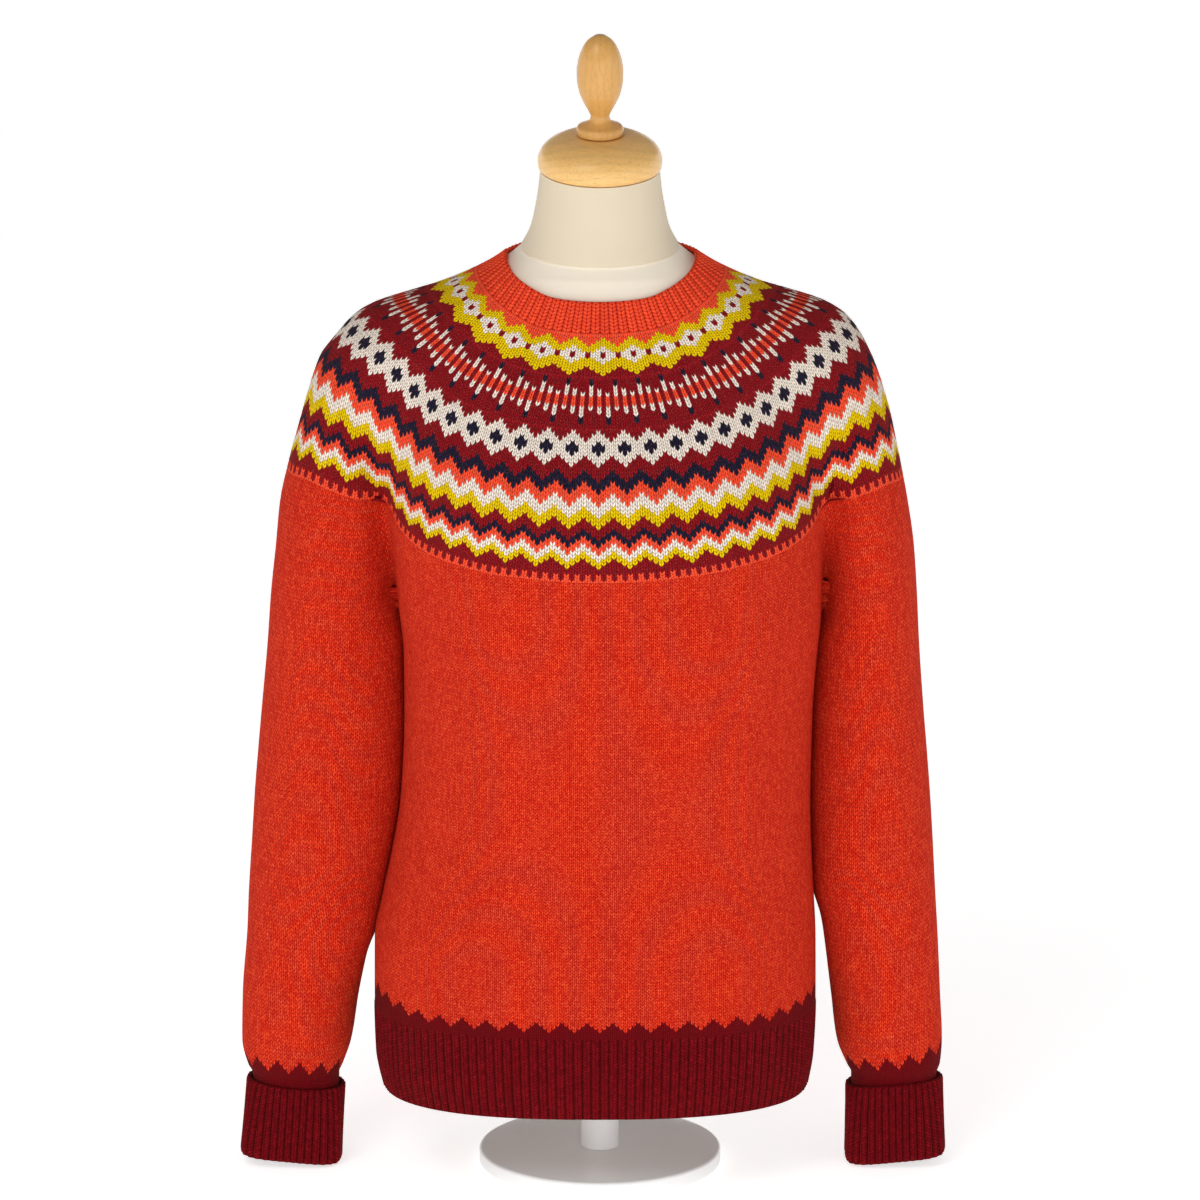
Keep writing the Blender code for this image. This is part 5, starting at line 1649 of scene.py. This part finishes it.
def form_field(x, y, z):
    """The padded torso: inside the knit, and cut off where arms would start."""
    lifted = z + FORM_DROP
    knit = np.where(lifted < UNDERARM_LEVEL, body_field(x, y, lifted), garment_field(x, y, lifted))
    padded = knit + FORM_INSET + FORM_EASE.read(z)[0]
    return -blended(-padded, FORM_ARM_CUT - np.abs(x), FORM_ARM_ROUNDING)


def drawn_in(ring, share):
    """A ring drawn in towards its middle."""
    middle = ring.mean(axis=0)
    return middle + (ring - middle) * share


def turned_mesh(name, rings, crease):
    """A closed body through rings of points, drawn together at both ends."""
    columns = rings.shape[1]
    places = grid_places(np.arange(columns + 1) / columns, along_rings(rings))
    first = drawn_in(rings[0], END_SHARE)
    last = drawn_in(rings[-1], END_SHARE)
    wall = Wall()
    numbers = wall.add_points(np.concatenate([[first], rings, [last]]))
    wall.add_faces(numbers, np.concatenate([places[:1], places, places[-1:]]), closed=True)
    middles = wall.add_points(np.array([first.mean(axis=0), last.mean(axis=0)]))
    below = np.roll(numbers[0], -1), numbers[0]
    above = numbers[-1], np.roll(numbers[-1], -1)
    for middle, (start, end) in zip(middles, (below, above)):
        fan = np.stack(np.broadcast_arrays(middle, start, end, -1), axis=1)
        wall.keep(fan, np.zeros((columns, 4, 2)), np.zeros(columns, dtype=int))
    return wall.mesh(name, crease)[0]


class JUMPER_OT_torso(bpy.types.Operator):
    """Cover the torso and neck in jersey"""

    bl_idname = "jumper.torso"
    bl_label = "Torso and neck"

    def execute(self, context):
        angles = FRONT_ANGLE + np.arange(FORM_COLUMNS) * TURN / FORM_COLUMNS
        torso = body_point(angles[None, :], TORSO_HEIGHTS[:, None], form_field)
        sole = drawn_in(torso[0], SOLE_SHARE)
        sole[:, 2] = TORSO_BOTTOM
        away = (NECK_DISTANCES - NECK_SEAM) / NECK_SEAM_WIDTH
        groove = NECK_SEAM_DEPTH * np.exp(-away ** 2)
        widths, depths = Table(FORM_NECK).read(NECK_DISTANCES)
        neck = [leaning_ring(angles, width, depth, distance)
                for width, depth, distance in zip(widths - groove, depths - groove, NECK_DISTANCES)]
        mesh = turned_mesh("torso", np.concatenate([[sole], torso, neck]), 60.0)
        show("torso_cover", mesh, self.jersey(context.scene.jumper_form), "form_torso")
        return {"FINISHED"}

    def jersey(self, form):
        """Fine cream jersey, stretched smooth, with painted light that makes the cover below the neck seam
        lighter than the neck.
        """
        finish = Finish("form_jersey")
        place = finish.point()
        across, depth, up = finish.axes(place)
        ribs = abs((across * JERSEY_RIBS + up * JERSEY_TWIST).fraction() - 0.5)
        loops = abs((up * JERSEY_LOOPS).fraction() - 0.5)
        cloud = finish.noise(place, 24.0, 3.0)
        lint = finish.noise(place, 900.0, 2.0)
        tone = (cloud - 0.5) * 0.05 + (lint - 0.5) * 0.06 + 0.985 - ribs * 0.03
        # Painted light: below the neck seam the cover takes the lighter torso colour.
        over_seam_painted_light_mask = up_the_neck(depth, up).between(2.0 * MM, 2.6 * MM)
        cover = finish.mixed(over_seam_painted_light_mask, form.jersey_torso, form.jersey)
        finish.set(base_color=finish.dimmed(cover, tone), roughness=0.8, sheen_weight=0.03,
                   sheen_roughness=0.5, specular_ior_level=0.2)
        finish.bump(ribs + loops * 0.5 + lint * 0.4, 0.06 * MM)
        return finish.material


class JUMPER_OT_wood(bpy.types.Operator):
    """Turn the cap and the finial"""

    bl_idname = "jumper.wood"
    bl_label = "Cap and finial"

    def execute(self, context):
        finish = self.beech(context.scene.jumper_form)
        for name, node, profile, rows in (("turned_cap", "form_cap", CAP_PROFILE, 40),
                                          ("turned_finial", "form_finial", FINIAL_PROFILE, 110)):
            mesh = turned_mesh(name, self.turned_rings(profile, rows), 40.0)
            show(name, mesh, finish, node)
        return {"FINISHED"}

    def turned_rings(self, profile, rows):
        """Rings through a smooth curve of the profile's points."""
        points = np.array(profile) * MM
        run = run_along(points)
        curve = Table(np.column_stack([run, points]), 1.0, (1.0, 1.0))
        angles = np.arange(WOOD_COLUMNS) * TURN / WOOD_COLUMNS
        return np.array([leaning_ring(angles, radius, radius, distance)
                         for radius, distance in zip(*curve.read(np.linspace(0.0, run[-1], rows)))])

    def beech(self, form):
        """Varnished beech: growth bands, short ray flecks and fine pores along the grain, and a painted
        highlight that makes the cap paler, most towards its lower rim.
        """
        finish = Finish("varnished_beech")
        place = finish.point()
        across, depth, up = finish.axes(place)
        height = up_the_neck(depth, up)
        on_cap = 1.0 - height.between(CAP_TOP, CAP_TOP + 0.4 * MM)
        wander = finish.noise(place, 14.0, 2.0)
        grains = []
        for scale, run in (((1.0, 1.0, 0.12), across), ((0.14, 1.0, 1.0), up + across * across * 4.0)):
            stretch = finish.node("ShaderNodeMapping", values={"Vector": place, "Scale": scale})
            rings = run * RING_COUNT + wander * 2.0
            band = (abs(rings.fraction() - 0.5) * 2.0).between(0.3, 1.0)
            fine = finish.noise(stretch.outputs[0], 1100.0, 4.0, 0.65)
            flecks = finish.noise(stretch.outputs[0], 700.0, 1.0).between(0.6, 0.75)
            grains.append(band * 0.05 + fine.between(0.45, 0.75) * 0.16 + flecks * 0.10)
        grain = grains[0] * (1.0 - on_cap) + grains[1] * on_cap * 1.3
        warm = finish.mixed(finish.noise(place, 22.0, 2.0), form.beech, WARM_GRAIN)
        # Painted highlight: the cap mixed towards a pale tone, more towards its lower rim.
        rim = 1.0 - height.between(CAP_HIGHLIGHT_FULL, CAP_HIGHLIGHT_FADED)
        warm = finish.mixed(on_cap * (rim * 0.3 + 0.45), warm, CAP_PAINTED_HIGHLIGHT)
        finish.set(base_color=finish.dimmed(warm, 1.0 - grain), roughness=0.36, coat_weight=0.3,
                   coat_roughness=0.22, specular_ior_level=0.35)
        finish.bump(grain, 0.02 * MM)
        return finish.material


class JUMPER_OT_stand(bpy.types.Operator):
    """Finish the post and the base"""

    bl_idname = "jumper.stand"
    bl_label = "Post and base"

    def execute(self, context):
        corner = [(BASE_RADIUS - BASE_ROUNDING * (1.0 - math.cos(turn)),
                   BASE_THICK - BASE_ROUNDING * (1.0 - math.sin(turn)))
                  for turn in np.linspace(0.0, math.pi / 2.0, 7)]
        base = [(BASE_RADIUS - BASE_BEVEL, 0.0), (BASE_RADIUS, BASE_BEVEL)] + corner
        base += [(radius * MM, BASE_THICK) for radius in (80.0, 50.0, 24.0)]
        post_heights = (BASE_THICK + POST_GAP, 50.0 * MM, 90.0 * MM, TORSO_BOTTOM - POST_GAP)
        post = [(POST_RADIUS, height) for height in post_heights]
        finish = self.lacquer(context.scene.jumper_form)
        for name, node, profile in (("lacquered_base", "form_base", base),
                                    ("lacquered_post", "form_post", post)):
            mesh = turned_mesh(name, upright_rings(profile, STAND_COLUMNS), 35.0)
            show(name, mesh, finish, node)
        return {"FINISHED"}

    def lacquer(self, form):
        """White lacquer with a faint orange peel and a little dust."""
        finish = Finish("white_lacquer_finish")
        place = finish.point()
        peel = finish.noise(place, 420.0, 2.0)
        dust = finish.noise(place, 60.0, 4.0, 0.6)
        tone = 1.0 - dust.between(0.55, 0.8) * 0.03
        finish.set(base_color=finish.dimmed(form.lacquer, tone), roughness=dust * 0.15 + 0.3,
                   coat_weight=0.3, coat_roughness=0.12)
        finish.bump(peel, 0.03 * MM)
        return finish.material


# ---- stage -----------------------------------------------------------------------------------
TARGET = Vector((0.0, 0.0, 0.458))
BASE_AIM = Vector((0.0, 0.0, 0.0))
FLOOR_RADIUS = 12.0
FLOOR_COLUMNS = 96
WALL_TOP = 3.2
FLOOR_GLOW = 0.64


class JUMPER_OT_stage(bpy.types.Operator):
    """Set the floor, the lights and the camera"""

    bl_idname = "jumper.stage"
    bl_label = "Stage"

    def execute(self, context):
        stage = context.scene.jumper_stage
        self.sweep()
        self.lamp("key_light", (-1.4, -2.5, 3.0), 1.8, stage.key_power)
        self.lamp("fill_light", (2.1, -2.0, 1.3), 1.6, stage.fill_power)
        self.lamp("floor_light", (0.0, -1.6, 0.35), 0.9, stage.floor_power, BASE_AIM)
        world = bpy.data.worlds.new("white_room")
        context.scene.world = world
        context.scene.view_settings.view_transform = "Standard"
        world.use_nodes = True
        light = world.node_tree.nodes["Background"].inputs
        light["Color"].default_value = (1.0, 1.0, 1.0, 1.0)
        light["Strength"].default_value = stage.surround
        lens = bpy.data.cameras.new("camera")
        lens.lens = stage.lens
        lens.sensor_width = 36.0
        lens.clip_end = 60.0
        camera = bpy.data.objects.new("camera", lens)
        context.scene.collection.objects.link(camera)
        back = Vector((0.0, -math.cos(stage.elevation), math.sin(stage.elevation)))
        camera.location = TARGET + back * stage.distance
        camera.rotation_mode = "QUATERNION"
        camera.rotation_quaternion = (-back).to_track_quat("-Z", "Y")
        context.scene.camera = camera
        return {"FINISHED"}

    def sweep(self):
        """A pale round floor that curves up into a wall all round."""
        profile = [(0.5, 0.0), (5.0, 0.0), (FLOOR_RADIUS, 0.0)]
        profile += [(FLOOR_RADIUS + math.sin(turn), 1.0 - math.cos(turn))
                    for turn in np.linspace(0.0, math.pi / 2.0, 9)[1:]]
        rings = upright_rings(profile + [(FLOOR_RADIUS + 1.0, WALL_TOP)], FLOOR_COLUMNS)
        numbers = 1 + np.arange(len(rings) * FLOOR_COLUMNS).reshape(len(rings), FLOOR_COLUMNS)
        numbers = np.concatenate([numbers, numbers[:, :1]], axis=1)
        faces = [(0, int(start), int(end)) for start, end in zip(numbers[0], numbers[0, 1:])]
        faces += corners_of(numbers).reshape(-1, 4).tolist()
        mesh = bpy.data.meshes.new("sweep")
        mesh.from_pydata([(0.0, 0.0, 0.0), *rings.reshape(-1, 3).tolist()], [], faces)
        mesh.shade_smooth()
        floor = bpy.data.objects.new("pale_floor", mesh)
        bpy.context.scene.collection.objects.link(floor)
        finish = Finish("pale_floor")
        grain = finish.noise(finish.point(), 3.0, 2.0)
        finish.set(base_color=finish.mixed(grain, (0.93, 0.93, 0.93), (0.95, 0.95, 0.95)),
                   roughness=0.9, specular_ior_level=0.1, emission_color=(1.0, 1.0, 1.0),
                   emission_strength=FLOOR_GLOW)
        mesh.materials.append(finish.material)

    def lamp(self, name, place, size, power, target=TARGET):
        """A square soft light aimed at a point."""
        light = bpy.data.lights.new(name, "AREA")
        light.shape = "SQUARE"
        light.size = size
        light.energy = power
        lamp = bpy.data.objects.new(name, light)
        bpy.context.scene.collection.objects.link(lamp)
        lamp.location = place
        aim = target - Vector(place)
        lamp.rotation_mode = "QUATERNION"
        lamp.rotation_quaternion = aim.to_track_quat("-Z", "Y")


OPERATORS = (
    JUMPER_OT_stage, JUMPER_OT_neck_rib, JUMPER_OT_yoke, JUMPER_OT_body, JUMPER_OT_hem_rib,
    JUMPER_OT_sleeves, JUMPER_OT_cuffs, JUMPER_OT_torso, JUMPER_OT_wood, JUMPER_OT_stand,
)


class VIEW3D_PT_jumper(bpy.types.Panel):
    """Settings and buttons in the sidebar"""

    bl_idname = "VIEW3D_PT_jumper"
    bl_label = "Fair Isle jumper"
    bl_space_type = "VIEW_3D"
    bl_region_type = "UI"
    bl_category = "Jumper"

    def draw(self, context):
        for group in SETTINGS:
            settings = getattr(context.scene, group)
            for name in settings.bl_rna.properties.keys():
                if name not in ("rna_type", "name"):
                    self.layout.prop(settings, name)
        for operator in OPERATORS:
            self.layout.operator(operator.bl_idname)


SETTINGS = {"jumper_yarns": JumperYarns, "jumper_form": JumperForm, "jumper_stage": JumperStage}
CLASSES = (*SETTINGS.values(), *OPERATORS, VIEW3D_PT_jumper)


def register():
    """Add the classes and the settings."""
    for item in CLASSES:
        bpy.utils.register_class(item)
    for name, group in SETTINGS.items():
        setattr(bpy.types.Scene, name, bpy.props.PointerProperty(type=group))


def unregister():
    """Take the settings and the classes away."""
    for name in SETTINGS:
        delattr(bpy.types.Scene, name)
    for item in reversed(CLASSES):
        bpy.utils.unregister_class(item)


def main():
    """Knit every piece and set the stage."""
    register()
    for operator in OPERATORS:
        group, name = operator.bl_idname.split(".")
        getattr(getattr(bpy.ops, group), name)()
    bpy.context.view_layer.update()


if __name__ == "__main__":
    main()
